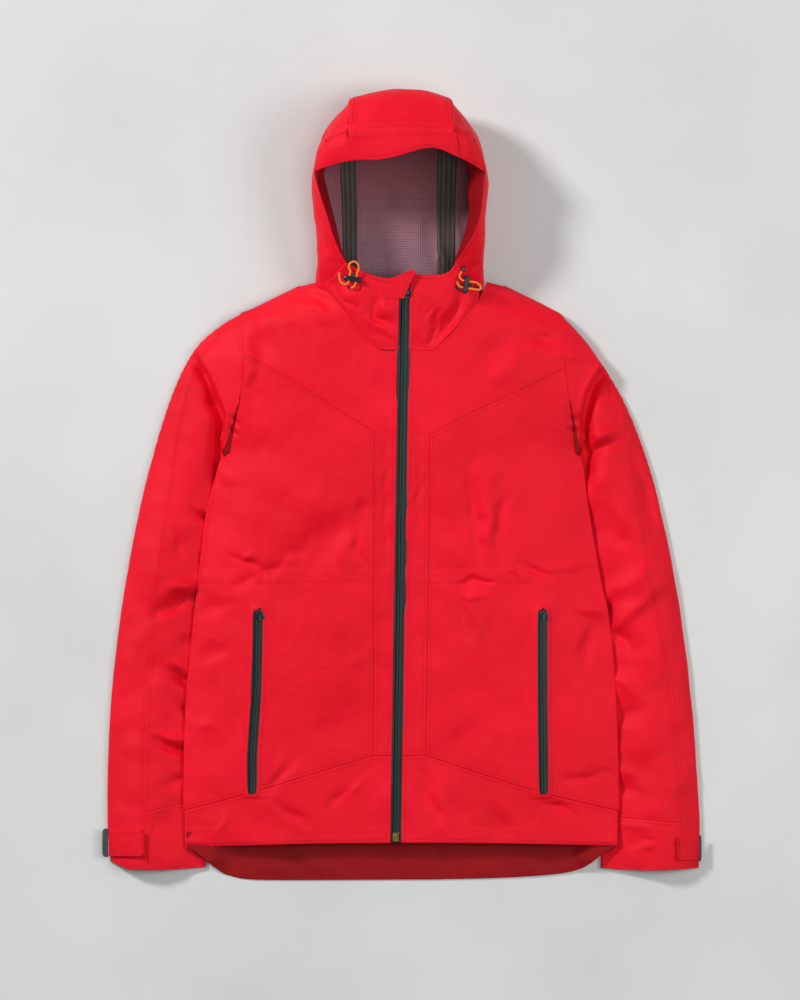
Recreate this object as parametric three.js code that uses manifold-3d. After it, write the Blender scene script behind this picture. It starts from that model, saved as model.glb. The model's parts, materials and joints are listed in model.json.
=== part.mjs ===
// Foul weather jacket, laid flat on its back with the sleeves beside the body and the hood open.
// Millimetres. +X is the wearer's left, +Y runs from the hem to the hood, +Z is up out of the chest.
// The origin is under the middle of the jacket, on the surface that it lies on.
import * as THREE from "three";
import { mergeVertices } from "three/addons/utils/BufferGeometryUtils.js";
import Module from "manifold-3d";

const wasm = await Module();
wasm.setup();

// ---- driving dimensions ----
const cloth = 1.8; // laminate with its seam tape
const seamGap = 0.6; // half the gap between two panels
const backLength = 502; // hood top and tail hem, from the origin
const sleeveReach = 381; // tip of a cuff tab, from the middle
const foldTop = 17.3; // top of the folded side edge
const foldLift = 13; // how far the back is lifted there, over the sleeve
const zipHem = { y: -454, z: 24 }; // top of the main zip at the hem
const zipTop = { y: 236, z: 58 }; // and at the throat
const zipLean = 11; // sideways run of the zip between those
const zipMiddle = 3; // where it crosses the throat
const tapeEdge = 7.4; // half width of the closed zip
const tapeSlit = 1.3; // half the slit between the two tapes
const tapeThick = 1.4;
const princessSeam = 35; // seam beside the zip, from the middle
const cordDiameter = 2.6;
const hoodMiddle = new THREE.Vector3(0, 370, 60);

// half width of the body cut, from shoulder point to tail
const bodyEdge = [[263, 112], [255, 129], [217, 206], [175, 199], [138, 200], [85, 212], [44, 228],
  [-22, 240], [-105, 252], [-205, 266], [-314, 274], [-460, 276], [-475, 250], [-492, 222], [-502, 186]];
// half width over which the body's height falls away, sleeve heads included
const heightEdge = [[263, 112], [255, 129], [217, 206], [204, 228], [178, 253], [140, 273], [90, 262],
  [60, 240], [44, 230], [-22, 240], [-105, 252], [-205, 266], [-314, 274], [-502, 276]];

const finishes = {
  shell: { color: 0xd8162a, roughness: 0.62, metalness: 0 },
  lining: { color: 0x8c7a86, roughness: 0.85, metalness: 0 },
  zip: { color: 0x16191b, roughness: 0.4, metalness: 0 },
  metal: { color: 0x2b3436, roughness: 0.35, metalness: 0.8 },
  brass: { color: 0x6e6230, roughness: 0.4, metalness: 0.8 },
  moulded: { color: 0x1c1c1f, roughness: 0.4, metalness: 0 },
  rubber: { color: 0x30393d, roughness: 0.7, metalness: 0 },
  hook: { color: 0x1a1a1c, roughness: 0.95, metalness: 0 },
  cord: { color: 0xf07814, roughness: 0.7, metalness: 0 },
  mesh: { color: 0x2a2a2e, roughness: 0.9, metalness: 0 },
};

const jacket = new THREE.Group();
const sideName = (side) => (side > 0 ? "left" : "right");

function add(name, geometry, finish) {
  const part = new THREE.Mesh(geometry, new THREE.MeshStandardMaterial(finishes[finish]));
  part.name = name;
  jacket.add(part);
  return part;
}

// ---- heights and edges ----
function lookUp(table, y) {
  if (y >= table[0][0]) return table[0][1];
  for (let i = 1; i < table.length; i++) {
    const [y0, v0] = table[i - 1];
    const [y1, v1] = table[i];
    if (y >= y1) return v1 + ((v0 - v1) * (y - y1)) / (y0 - y1);
  }
  return table[table.length - 1][1];
}

const smooth = (from, to, value) => THREE.MathUtils.smoothstep(value, from, to);
const zipSlope = (zipTop.z - zipHem.z) / (zipTop.y - zipHem.y);
const zipSide = zipLean / (zipTop.y - zipHem.y);
const zipZ = (y) => zipHem.z + zipSlope * (y - zipHem.y);
const zipX = (y) => zipMiddle + zipSide * (y - zipTop.y);

// the front falls from the zip to the folded edge as one minus the cube of the way out
function frontZ(x, y) {
  const out = Math.min(1, Math.abs(x) / lookUp(heightEdge, y));
  return foldTop + (zipZ(y) - foldTop) * (1 - out ** 3);
}

// underside of the back: on the ground in the middle, lifted along the edges
function backZ(x, y) {
  const inside = lookUp(heightEdge, y) - Math.abs(x);
  const lift = THREE.MathUtils.clamp((62 - inside) / 32, 0, 1);
  return foldLift * lift * THREE.MathUtils.clamp((y + backLength) / 26, 0, 1);
}

// ---- closed shells from an outer and an inner surface ----
function shell(rows, columns, outer, inner, ring = false) {
  const width = ring ? columns : columns + 1;
  const layer = (rows + 1) * width;
  const positions = [];
  for (const surface of [outer, inner]) {
    for (let i = 0; i <= rows; i++) {
      for (let j = 0; j < width; j++) positions.push(...surface(i / rows, j / columns).toArray());
    }
  }
  const at = (side, i, j) => side * layer + i * width + (j % width);
  const index = [];
  const quad = (a, b, c, d) => index.push(a, b, c, a, c, d);
  for (let i = 0; i < rows; i++) {
    for (let j = 0; j < columns; j++) {
      quad(at(0, i, j), at(0, i + 1, j), at(0, i + 1, j + 1), at(0, i, j + 1));
      quad(at(1, i, j), at(1, i, j + 1), at(1, i + 1, j + 1), at(1, i + 1, j));
    }
  }
  for (let j = 0; j < columns; j++) {
    quad(at(0, 0, j + 1), at(1, 0, j + 1), at(1, 0, j), at(0, 0, j));
    quad(at(0, rows, j), at(1, rows, j), at(1, rows, j + 1), at(0, rows, j + 1));
  }
  for (let i = 0; i < rows && !ring; i++) {
    quad(at(0, i, 0), at(1, i, 0), at(1, i + 1, 0), at(0, i + 1, 0));
    quad(at(0, i + 1, columns), at(1, i + 1, columns), at(1, i, columns), at(0, i, columns));
  }
  const geometry = new THREE.BufferGeometry();
  geometry.setAttribute("position", new THREE.Float32BufferAttribute(positions, 3));
  geometry.setIndex(facingOut(positions, index));
  return geometry;
}

// turns the triangles round when the volume that they hold comes out negative
function facingOut(positions, index) {
  const corner = (n) => new THREE.Vector3().fromArray(positions, 3 * index[n]);
  let volume = 0;
  for (let n = 0; n < index.length; n += 3) {
    volume += corner(n).dot(corner(n + 1).cross(corner(n + 2)));
  }
  if (volume > 0) return index;
  const turned = [];
  for (let n = 0; n < index.length; n += 3) turned.push(index[n], index[n + 2], index[n + 1]);
  return turned;
}

function alongLine(points, t) {
  const place = Math.min(t * (points.length - 1), points.length - 1 - 1e-9);
  const k = Math.floor(place);
  return points[k].map((value, axis) => value + (points[k + 1][axis] - value) * (place - k));
}

// a panel between two lines of points, joined rung by rung; z comes from top(x, y)
function panel(name, side, near, far, perSpan, across, top, thick = cloth, finish = "shell") {
  const surface = (drop) => (u, v) => {
    const a = alongLine(near, u);
    const b = alongLine(far, u);
    const x = side * (a[0] + (b[0] - a[0]) * v);
    const y = a[1] + (b[1] - a[1]) * v;
    const height = top ? top(x, y) : a[2] + (b[2] - a[2]) * v;
    return new THREE.Vector3(x, y, height - drop);
  };
  return add(name, shell((near.length - 1) * perSpan, across, surface(0), surface(thick)), finish);
}

// a skin through lines of points in space, thickened towards a point inside it
function skin(name, lines, rows, columns, inside, thick, finish) {
  const curves = lines.map((line) => new THREE.CatmullRomCurve3(line));
  const point = (u, v) =>
    new THREE.CatmullRomCurve3(curves.map((curve) => curve.getPoint(u))).getPoint(v);
  const inner = (u, v) => {
    const step = 0.02;
    const along = point(Math.min(1, u + step), v).sub(point(Math.max(0, u - step), v));
    const over = point(u, Math.min(1, v + step)).sub(point(u, Math.max(0, v - step)));
    const normal = along.cross(over).normalize();
    const here = point(u, v);
    if (normal.dot(inside.clone().sub(here)) < 0) normal.negate();
    return here.addScaledVector(normal, thick);
  };
  return add(name, shell(rows, columns, point, inner), finish);
}

// ---- joining and cutting ----
function toSolid(geometry) {
  const plain = geometry.clone();
  plain.deleteAttribute("normal");
  plain.deleteAttribute("uv");
  const merged = mergeVertices(plain, 1e-4);
  return new wasm.Manifold(new wasm.Mesh({
    numProp: 3,
    vertProperties: new Float32Array(merged.attributes.position.array),
    triVerts: new Uint32Array(merged.index.array),
  }));
}

function toGeometry(solid) {
  const mesh = solid.getMesh();
  const geometry = new THREE.BufferGeometry();
  geometry.setAttribute("position", new THREE.BufferAttribute(new Float32Array(mesh.vertProperties), 3));
  geometry.setIndex(new THREE.BufferAttribute(new Uint32Array(mesh.triVerts), 1));
  return geometry;
}

function combine(joined, cut = []) {
  let solid = toSolid(joined[0]);
  for (const geometry of joined.slice(1)) solid = solid.add(toSolid(geometry));
  for (const geometry of cut) solid = solid.subtract(toSolid(geometry));
  return toGeometry(solid);
}

const box = (wide, long, high, x = 0, y = 0, z = 0) =>
  new THREE.BoxGeometry(wide, long, high).translate(x, y, z);

function rod(from, to, radius, sides = 10) {
  const start = new THREE.Vector3(...from);
  const span = new THREE.Vector3(...to).sub(start);
  const geometry = new THREE.CylinderGeometry(radius, radius, span.length(), sides);
  const turn = new THREE.Quaternion().setFromUnitVectors(new THREE.Vector3(0, 1, 0),
    span.clone().normalize());
  const middle = start.addScaledVector(span, 0.5);
  return geometry.applyQuaternion(turn).translate(middle.x, middle.y, middle.z);
}

// top of the pieces already made at a place in plan, or 0 in a gap between them
function topAt(names, x, y) {
  const ray = new THREE.Raycaster(new THREE.Vector3(x, y, 300), new THREE.Vector3(0, 0, -1));
  const parts = jacket.children.filter((part) => names.includes(part.name));
  const hits = ray.intersectObjects(parts);
  return hits.length ? hits[0].point.z : 0;
}

// ---- back ----
function makeBack() {
  const rows = [[120, 0], ...bodyEdge.slice(5)].map(([y]) => y);
  const surface = (raise) => (u, v) => {
    const y = rows[Math.round(u * (rows.length - 1))];
    const edge = lookUp(bodyEdge, y);
    const places = [edge, edge - 30, edge - 62, (edge - 62) / 2, 0];
    const j = Math.round(v * 8);
    const x = j <= 4 ? -places[j] : places[8 - j];
    return new THREE.Vector3(x, y, backZ(x, y) + raise);
  };
  add("back_body", shell(rows.length - 1, 8, surface(cloth), surface(0)), "shell");
  const hemSide = [[-197, 121.5], [-150, 121.5], [-105, 121.5], [-85, 121.5], [-45, 121.5], [0, 121.5],
    [45, 121.5], [85, 121.5], [105, 121.5], [150, 121.5], [197, 121.5]];
  const neckSide = [[-197, 216], [-129, 253], [-111, 261], [-85, 246], [-45, 234], [0, 230],
    [45, 234], [85, 246], [111, 261], [129, 253], [197, 216]];
  panel("back_yoke", 1, hemSide, neckSide, 1, 3, (x, y) => backZ(x, y) + cloth);
}

// ---- front ----
const zipEdge = (side, y) => side * zipX(y) + tapeEdge + seamGap;

function makeFront(side) {
  const name = sideName(side);
  const g = seamGap;
  const p = princessSeam;
  const nearYoke = [[zipEdge(side, -343), -343], [zipEdge(side, -140), -140], [zipEdge(side, 66), 66],
    [zipEdge(side, 120), 120], [zipEdge(side, 170), 170], [36, 171], [52, 185], [73, 214], [98, 241],
    [107, 260]];
  const farYoke = [[p - g, -343], [p - g, -140], [p - g, 66 + g], [84, 97 + g], [140, 132 + g],
    [199, 168.5 + g], [199.6, 178], [206, 217], [168, 235], [128, 254]];
  panel(`front_yoke_${name}`, side, nearYoke, farYoke, 1, 4, frontZ);
  const nearSide = [[p + g, 66 - g], [p + g, 48], [p + g, 20], [p + g, -10], [p + g, -45], [p + g, -105],
    [p + g, -185], [p + g, -265], [p + g, -343 + g]];
  const farSide = [[199, 168.5 - g], [200, 138], [212, 85], [228, 44], [240, -22], [252, -105],
    [266, -205], [274, -314], [276, -414 + g]];
  panel(`front_side_${name}`, side, nearSide, farSide, 1, 6, frontZ);
  const topHem = [[zipEdge(side, -344), -343 - 2 * g], [p, -343 - 2 * g], [116, -367 - 2 * g],
    [196, -390.6 - 2 * g], [276, -414 - 2 * g]];
  const bottomHem = [[zipEdge(side, -454), -454], [p, -454.5], [116, -456.5], [196, -458.5], [276, -460]];
  panel(`front_hem_${name}`, side, topHem, bottomHem, 1, 3, frontZ);
  const neck = [[zipEdge(side, 173), 173], [36, 174], [53, 188], [74, 217], [99, 244]];
  const rim = [[zipEdge(side, 270), 270, 60.5], [30, 268, 62], [44, 268, 64], [56, 271, 66], [67, 278, 69]];
  const neckAt = neck.map(([x, y]) => [x, y, frontZ(x, y)]);
  panel(`collar_front_${name}`, side, neckAt, rim, 1, 4);
}

function makeInside(side) {
  const name = sideName(side);
  const bagZ = (x, y) => frontZ(x, y) - 8;
  panel(`pocket_bag_${name}`, side, [[78, -165], [72, -290], [80, -398]],
    [[178, -165], [182, -290], [186, -398]], 2, 3, bagZ, 2.4, "mesh");
}

// ---- hood ----
// lines from the chin to the peak: rim, side wall, outermost line, lower wall, strip edge
const V = (x, y, z) => new THREE.Vector3(x, y, z);
const hoodLines = [
  [V(71, 283, 70), V(84, 299, 78), V(93, 318, 84), V(98, 340, 88), V(97, 364, 90), V(102, 384, 90),
    V(107, 398, 89), V(108, 411, 91), V(106, 424, 94), V(103, 432, 98), V(100, 437, 101)],
  [V(103, 250, 46), V(106, 282, 58), V(107, 308, 62), V(109, 335, 64), V(111, 362, 68), V(112, 388, 70),
    V(112, 408, 74), V(107, 430, 80), V(99, 446, 88), V(93, 448, 101), V(90, 443, 109)],
  [V(109, 265, 24), V(106, 285, 28), V(107, 312, 29), V(109, 338, 29), V(112, 365, 31), V(113, 392, 35),
    V(112, 420, 44), V(103, 452, 60), V(89, 469, 72), V(82, 466, 95), V(81, 448, 114)],
  [V(86, 251, 6), V(85, 270, 5), V(86, 300, 4), V(87, 330, 4), V(89, 365, 4), V(91, 405, 6),
    V(91, 440, 13), V(84, 473, 31), V(73, 488, 58), V(71, 484, 86), V(72, 452, 118)],
  [V(50, 240, 3), V(50, 262, 2), V(51, 290, 2), V(51, 325, 2), V(51, 370, 2), V(52, 415, 3),
    V(53, 450, 6), V(55, 481, 18), V(58, 498, 50), V(61, 496, 86), V(64, 454, 120)],
];
const stripMiddle = [V(0, 235, 2), V(0, 262, 1), V(0, 290, 1), V(0, 325, 1), V(0, 370, 1), V(0, 415, 2),
  V(0, 452, 5), V(0, 484, 18), V(0, backLength - 2, 50), V(0, 498, 88), V(0, 455, 124)];
const mirrored = (line, side, inset = 0) => line.map((p) => V(side * (p.x - inset), p.y, p.z));

function makeHood() {
  for (const side of [1, -1]) {
    skin(`hood_side_${sideName(side)}`, hoodLines.map((line) => mirrored(line, side)), 12, 8, hoodMiddle,
      cloth, "shell");
  }
  const edge = hoodLines[4];
  skin("hood_center", [mirrored(edge, -1, 2), stripMiddle, mirrored(edge, 1, 2)], 14, 4, hoodMiddle,
    cloth, "shell");
  const inward = 0.92;
  const belowRim = hoodLines[0].map((p, i) => p.clone().lerp(hoodLines[1][i], 0.3));
  const wall = [belowRim, ...hoodLines.slice(1)];
  const around = [...wall.map((line) => mirrored(line, -1)), stripMiddle,
    ...[...wall].reverse().map((line) => mirrored(line, 1))];
  const lining = around.map((line) =>
    line.map((p) => p.clone().sub(hoodMiddle).multiplyScalar(inward).add(hoodMiddle)));
  skin("hood_lining", lining, 12, 16, hoodMiddle, 1, "lining");
  const seam = [[-98, 430, 104], [-80, 442, 114], [-62, 449, 120], [-31, 451, 123], [0, 452, 124],
    [31, 451, 123], [62, 449, 120], [80, 442, 114], [98, 430, 104]];
  const lip = [[-106, 400, 97], [-86, 406, 107], [-61, 411, 115], [-33, 411, 120], [-5, 416, 122],
    [30, 425, 123], [58, 421, 119], [82, 411, 109], [103, 400, 97]];
  panel("hood_peak", 1, seam, lip, 2, 3, null, 2.2);
}

// ---- sleeves ----
const sleeveRows = [[[229.5, 44], [207.5, 217]], [[237, 10], [231, 203]], [[241, -35], [262, 168]],
  [[233, -95], [291, 98]], [[236, -165], [321, 10]], [[241, -235], [346, -105]], [[246, -300], [363, -215]],
  [[250, -365], [373, -325]], [[252, -412], [376.5, -430]], [[254, -486], [376, -485]]];
const cuffStart = 8 / 9; // where the cuff seam lies along those rows
const edgeThick = 4.8;
const sleeveEdges = [0, 1].map((end) =>
  new THREE.CatmullRomCurve3(sleeveRows.map((row) => V(row[end][0], row[end][1], 0))));
const armholeCurve = 15.5; // how far the armhole seam is hollowed

// a point of the sleeve at t along it and s across it, from its inner edge to its outer edge
function sleevePlan(t, s) {
  const point = sleeveEdges[0].getPoint(t).lerp(sleeveEdges[1].getPoint(t), s);
  point.x -= armholeCurve * Math.sin(Math.PI * s) * (1 - smooth(0, 0.3, t));
  return point;
}

function sleeveHeights(t, s) {
  const { x, y } = sleevePlan(t, s);
  const full = THREE.MathUtils.lerp(28, 22, t);
  const low = backZ(x, y) * (1 - smooth(0, 0.22, t));
  const high = edgeThick + (full - edgeThick) * Math.sin(Math.PI * s ** 1.5);
  const joined = Math.max(frontZ(x, y), low + edgeThick);
  return [low, THREE.MathUtils.lerp(joined, high, smooth(0, 0.3, t))];
}

// sections: how far across the sleeve, and 1 for its upper cloth or 0 for its under cloth
const outerSection = [[0.684, 1], [0.78, 1], [0.89, 1], [1, 1], [1, 0], [0.88, 0], [0.7, 0], [0.504, 0]];
const innerSection = [[0.496, 0], [0.3, 0], [0.12, 0], [0, 0], [0, 1], [0.1, 1], [0.24, 1], [0.44, 1],
  [0.676, 1]];
const sleeveLining = 1.6; // from the outside to the inside of the sleeve's cloth

function sleeveSurface(side, section, start, end, thin) {
  const tuck = 0.015 * thin;
  return (u, v) => {
    const [across, up] = section[Math.round(v * (section.length - 1))];
    const s = THREE.MathUtils.clamp(across, tuck, 1 - tuck);
    const t = THREE.MathUtils.lerp(start(s), end(s), u);
    const { x, y } = sleevePlan(t, s);
    const [low, high] = sleeveHeights(t, s);
    return V(side * x, y, up ? high - thin : low + thin);
  };
}

// The arm swings about an upright line through the armhole. The cap stays on the body and ends on a
// circle round that line, and the arm starts on the same circle.
const armPivot = { x: 224, y: 112 };
const capRadius = 76;
const capGap = 0.6; // half the gap between cap and arm

function reachOfCircle(s, radius) {
  const distance = (t) => {
    const { x, y } = sleevePlan(t, s);
    return Math.hypot(x - armPivot.x, y - armPivot.y);
  };
  let [near, far] = [0, 0.6];
  for (let t = far; t > 0 && near === 0; t -= 0.01) if (distance(t) < radius) near = t;
  for (let n = 0; n < 30; n++) {
    const middle = (near + far) / 2;
    if (distance(middle) < radius) near = middle;
    else far = middle;
  }
  return near;
}

function makeSleeve(side) {
  const name = sideName(side);
  const piece = (label, section, start, end, rows, ring) => {
    const surfaces = [0, sleeveLining].map((thin) => sleeveSurface(side, section, start, end, thin));
    add(`${label}_${name}`, shell(rows, section.length - 1, ...surfaces, ring), "shell");
  };
  const seamEnd = () => cuffStart - 0.003;
  const around = [...outerSection, ...innerSection];
  piece("sleeve_cap", [...around, around[0]], () => 0, (s) => reachOfCircle(s, capRadius - capGap), 6, true);
  const armpitRelief = 0.05; // the arm starts a little lower at its inner edge
  const armStart = (s) => reachOfCircle(s, capRadius + capGap) + armpitRelief * (1 - s) ** 6;
  piece("sleeve_outer", outerSection, armStart, seamEnd, 12, false);
  piece("sleeve_inner", innerSection, armStart, seamEnd, 12, false);
  piece("cuff", [...around, around[0]], () => cuffStart, () => 1, 2, true);
}

// ---- cuff tabs ----
const tabs = { left: { from: 349, y: [-476, -446] }, right: { from: 329, y: [-471, -437] } };
const tipLength = 7.5;

function cuffTop(x, y) {
  const t = THREE.MathUtils.clamp(cuffStart + ((-425 - y) / 61) * (1 - cuffStart), cuffStart, 1);
  const inner = sleevePlan(t, 0).x;
  const s = THREE.MathUtils.clamp((Math.abs(x) - inner) / (sleevePlan(t, 1).x - inner), 0, 1);
  return sleeveHeights(t, s)[1];
}

function makeTab(side) {
  const name = sideName(side);
  const { from, y: [low, high] } = tabs[name];
  const strip = (start, end, inset) => {
    const count = 4;
    const xs = Array.from({ length: count + 1 }, (_, i) => start + ((end - start) * i) / count);
    return [xs.map((x) => [x, low + inset]), xs.map((x) => [x, high - inset])];
  };
  const above = (gap) => (x, y) => cuffTop(x, y) + gap;
  const end = sleeveReach - tipLength;
  panel(`cuff_loop_pad_${name}`, side, ...strip(from + 6, end - 8, 6), 1, 1, above(1.7), 1, "hook");
  panel(`cuff_hook_pad_${name}`, side, ...strip(from + 6, end - 8, 6), 1, 1, above(3.1), 1, "hook");
  panel(`cuff_tab_${name}`, side, ...strip(from, end - 0.3, 0), 1, 1, above(5.3), 1.8);
  panel(`cuff_tab_tip_${name}`, side, ...strip(end, sleeveReach, -1), 1, 1, above(5.6), 2.4, "rubber");
}

// ---- zips ----
const zipTilt = new THREE.Euler(Math.atan(zipSlope), 0, -Math.atan(zipSide), "ZXY");

function sliderGeometry(size) {
  const body = [box(11, 14, 1.5, 0, 0, 1.45), box(1.8, 9, 5, 0, 0, -0.9), box(10, 12, 1.2, 0, 0, -2.6),
    box(2.2, 4.6, 3, 0, -4, 3.4)];
  const hole = rod([-3, -4, 3.4], [3, -4, 3.4], 1, 8);
  return combine(body, [hole]).scale(size, size, size);
}

// a triangle of wire, its bar held in the slider's bridge; offset moves it sideways in the bridge
function pullerGeometry(size, offset = 0) {
  const [near, far] = [offset - 6.6, offset + 6.6];
  const apex = [offset, 17.5, 0];
  return combine([rod([near, 0, 0], [far, 0, 0], 0.65, 8), rod([near, -0.3, 0], apex, 0.9, 8),
    rod([far, -0.3, 0], apex, 0.9, 8)]).scale(size, size, size);
}

const parkedAt = 245; // the middle of the closed main slider
function makeMainZip() {
  for (const side of [1, -1]) {
    const edge = (out) => [262, -452].map((y) => [side * zipX(y) + out, y]);
    panel(`main_zip_tape_${sideName(side)}`, side, edge(tapeSlit), edge(tapeEdge), 1, 1,
      (x, y) => zipZ(y) + 0.2, tapeThick, "zip");
  }
  const slider = add("main_zip_slider", sliderGeometry(1), "metal");
  slider.rotation.copy(zipTilt);
  slider.position.set(zipX(parkedAt), parkedAt, zipZ(parkedAt));
  const puller = add("main_zip_puller", pullerGeometry(1, 3.4), "metal");
  puller.rotation.copy(zipTilt);
  const pivot = V(0, -4, 3.4).applyEuler(zipTilt).add(slider.position);
  puller.position.copy(pivot);
  const stop = add("main_zip_box", box(8, 11, 1.6, 0, 0, 0), "brass");
  stop.rotation.copy(zipTilt);
  stop.position.set(zipX(-446), -446, zipZ(-446) + 1.4);
  panel("chin_guard", 1, [[-24, 239], [-20, 274.5]], [[-4.5, 239], [12.5, 273]], 2, 2,
    (x, y) => zipZ(y) + 8, 1.8);
  panel("storm_flap", 1, [[-26, 165], [-26, -450]], [[20, 165], [16, -450]], 1, 1,
    (x, y) => zipZ(y) - 6, 1.6);
}

const pocketZip = { top: [180, -157], bottom: [188, -391], width: 11 };
function makePocketZip(side) {
  const name = sideName(side);
  const { top, bottom, width } = pocketZip;
  const start = V(side * top[0], top[1], frontZ(top[0], top[1]) + 2.6);
  const end = V(side * bottom[0], bottom[1], frontZ(bottom[0], bottom[1]) + 2.6);
  const line = end.clone().sub(start);
  const onLine = (x, y) => start.z + (line.z * (y - start.y)) / line.y;
  const edge = (out) => [[top[0] + out, top[1]], [bottom[0] + out, bottom[1]]];
  panel(`pocket_zip_tape_${name}`, side, edge(-width / 2), edge(width / 2), 1, 1, onLine, 1.4, "zip");
  const size = 0.8;
  const tilt = new THREE.Euler(Math.atan(line.z / line.y), 0, -Math.atan(line.x / line.y), "ZXY");
  const parked = start.clone().addScaledVector(line, 0.035);
  const body = combine([box(9, 11, 1.2, 0, 0, 0.9), box(3, 4.8, 2.4, 0, -3, 2.5)],
    [rod([-3, -3, 2.6], [3, -3, 2.6], 0.85, 8)]);
  const slider = add(`pocket_slider_${name}`, body, "metal");
  slider.rotation.copy(tilt);
  slider.position.copy(parked);
  const puller = add(`pocket_puller_${name}`, pullerGeometry(size), "metal");
  puller.rotation.copy(tilt);
  puller.position.copy(V(0, -3, 2.6).applyEuler(tilt).add(parked));
}

// ---- hood cords and their locks ----
const locks = {
  left: { middle: [81.3, 255], turn: -99, eyelets: [[78, 275], [70.5, 252], [95.5, 254]] },
  right: { middle: [-62.5, 262], turn: -9.5, eyelets: [[-79, 269.5], [-64.5, 250.5]] },
};
// the cord in the lock's own plan, where +y is towards the free end of the loop
const cordPlan = {
  left: { start: [[-18.5, -7, -3], [-13, -9, -0.6], [-8, -9.8, 0]],
    loop: [[-4, 13, 0], [-1.6, 17.6, 0], [1.5, 19, 0], [4, 17.4, 0]],
    end: [[2.6, -9.2, 0], [0.2, -11, -1], [-1, -11.2, -3]] },
  right: { start: [[-17.6, 4.6, -3], [-17.4, 0.5, -0.8], [-14.5, -5.6, 0], [-9, -8.6, 0]],
    loop: [[-7.2, 14, 0], [-6.4, 19, 0], [-1.6, 22, 0], [3.4, 19.6, 0], [5.4, 14, 0]],
    end: [[3.6, -9, 0], [1, -11, -1.2], [0.2, -11.4, -3]] },
};
const holeAt = 4.4;
const lockRadius = 3.5;

function lockGeometry() {
  const profile = [[0, -12], [2.6, -11.2], [lockRadius, -9], [lockRadius, 9], [2.6, 11.2], [0, 12]];
  const barrel = new THREE.LatheGeometry(profile.map(([r, h]) => new THREE.Vector2(r, h)), 14);
  barrel.rotateZ(-Math.PI / 2);
  const holes = [-holeAt, holeAt].map((x) => rod([x, -6, 0], [x, 6, 0], 1.8, 12));
  return combine([barrel], [...holes, rod([0, -1.6, 0], [0, 6, 0], 2, 12)]);
}

function makeHoodCord(side) {
  const name = sideName(side);
  const { middle: [x, y], turn, eyelets } = locks[name];
  const under = [`collar_front_${name}`, `hood_side_${name}`];
  const around = [[0, 0], [10, 0], [-10, 0], [0, 8], [0, -8]];
  const height = Math.max(...around.map(([dx, dy]) => topAt(under, x + dx, y + dy))) + lockRadius + 1.4;
  const place = (geometry) => geometry.rotateZ(THREE.MathUtils.degToRad(turn)).translate(x, y, height);
  add(`hood_lock_barrel_${name}`, place(lockGeometry()), "moulded");
  const button = combine([rod([0, 1.2, 0], [0, 5.2, 0], 1.7), rod([0, 4.9, 0], [0, 7.6, 0], 2.5, 12)]);
  add(`hood_lock_button_${name}`, place(button), "moulded");
  const coil = new THREE.CatmullRomCurve3(Array.from({ length: 19 }, (_, i) => {
    const angle = (i / 18) * 2 * Math.PI * 1.5;
    return V(1.3 * Math.cos(angle), -1.2 + (0.8 * i) / 18, 1.3 * Math.sin(angle));
  }));
  const wire = new THREE.Shape().absarc(0, 0, 0.16, 0, 2 * Math.PI);
  const spring = new THREE.ExtrudeGeometry(wire, { steps: 22, extrudePath: coil, curveSegments: 3 });
  add(`hood_lock_spring_${name}`, place(spring), "metal");
  eyelets.forEach(([ex, ey], i) => {
    const level = Math.max(...[[0, 0], [3, 0], [-3, 0], [0, 3], [0, -3]]
      .map(([dx, dy]) => topAt(under, ex + dx, ey + dy)));
    const section = [[1.7, 0], [3.6, 0], [3.2, 0.9], [2.4, 1.1], [1.7, 0.6], [1.7, 0]];
    const ring = new THREE.LatheGeometry(section.map(([r, h]) => new THREE.Vector2(r, h)), 14);
    ring.rotateX(Math.PI / 2).translate(ex, ey, level + 0.5);
    add(`hood_eyelet_${name}_${i + 1}`, ring, "moulded");
  });
  const leg = (hole, out) => [hole, out, 0];
  const { start, loop, end } = cordPlan[name];
  const route = [...start, leg(-holeAt, -5), leg(-holeAt, 0), leg(-holeAt, 5), leg(-holeAt, 9), ...loop,
    leg(holeAt, 9), leg(holeAt, 5), leg(holeAt, 0), leg(holeAt, -5), ...end];
  const path = new THREE.CatmullRomCurve3(route.map((p) => V(...p)));
  const round = new THREE.Shape().absarc(0, 0, cordDiameter / 2, 0, 2 * Math.PI);
  const cord = new THREE.ExtrudeGeometry(round, { steps: 48, extrudePath: path, curveSegments: 8 });
  add(`hood_cord_${name}`, place(cord), "cord");
}

// ---- hang loop ----
function makeHangLoop() {
  const band = new THREE.Shape();
  band.absarc(0, 0, 15, Math.PI, 2 * Math.PI, false);
  band.absarc(0, 0, 10, 2 * Math.PI, Math.PI, true);
  const loop = new THREE.ExtrudeGeometry(band, { depth: 1.6, bevelEnabled: false, curveSegments: 10 });
  add("hang_loop", loop.translate(0, 264, 10), "shell");
}

makeBack();
makeHood();
for (const side of [1, -1]) {
  makeFront(side);
  makeInside(side);
  makeSleeve(side);
  makeTab(side);
  makePocketZip(side);
  makeHoodCord(side);
}
makeMainZip();
makeHangLoop();

export default jacket;
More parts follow.
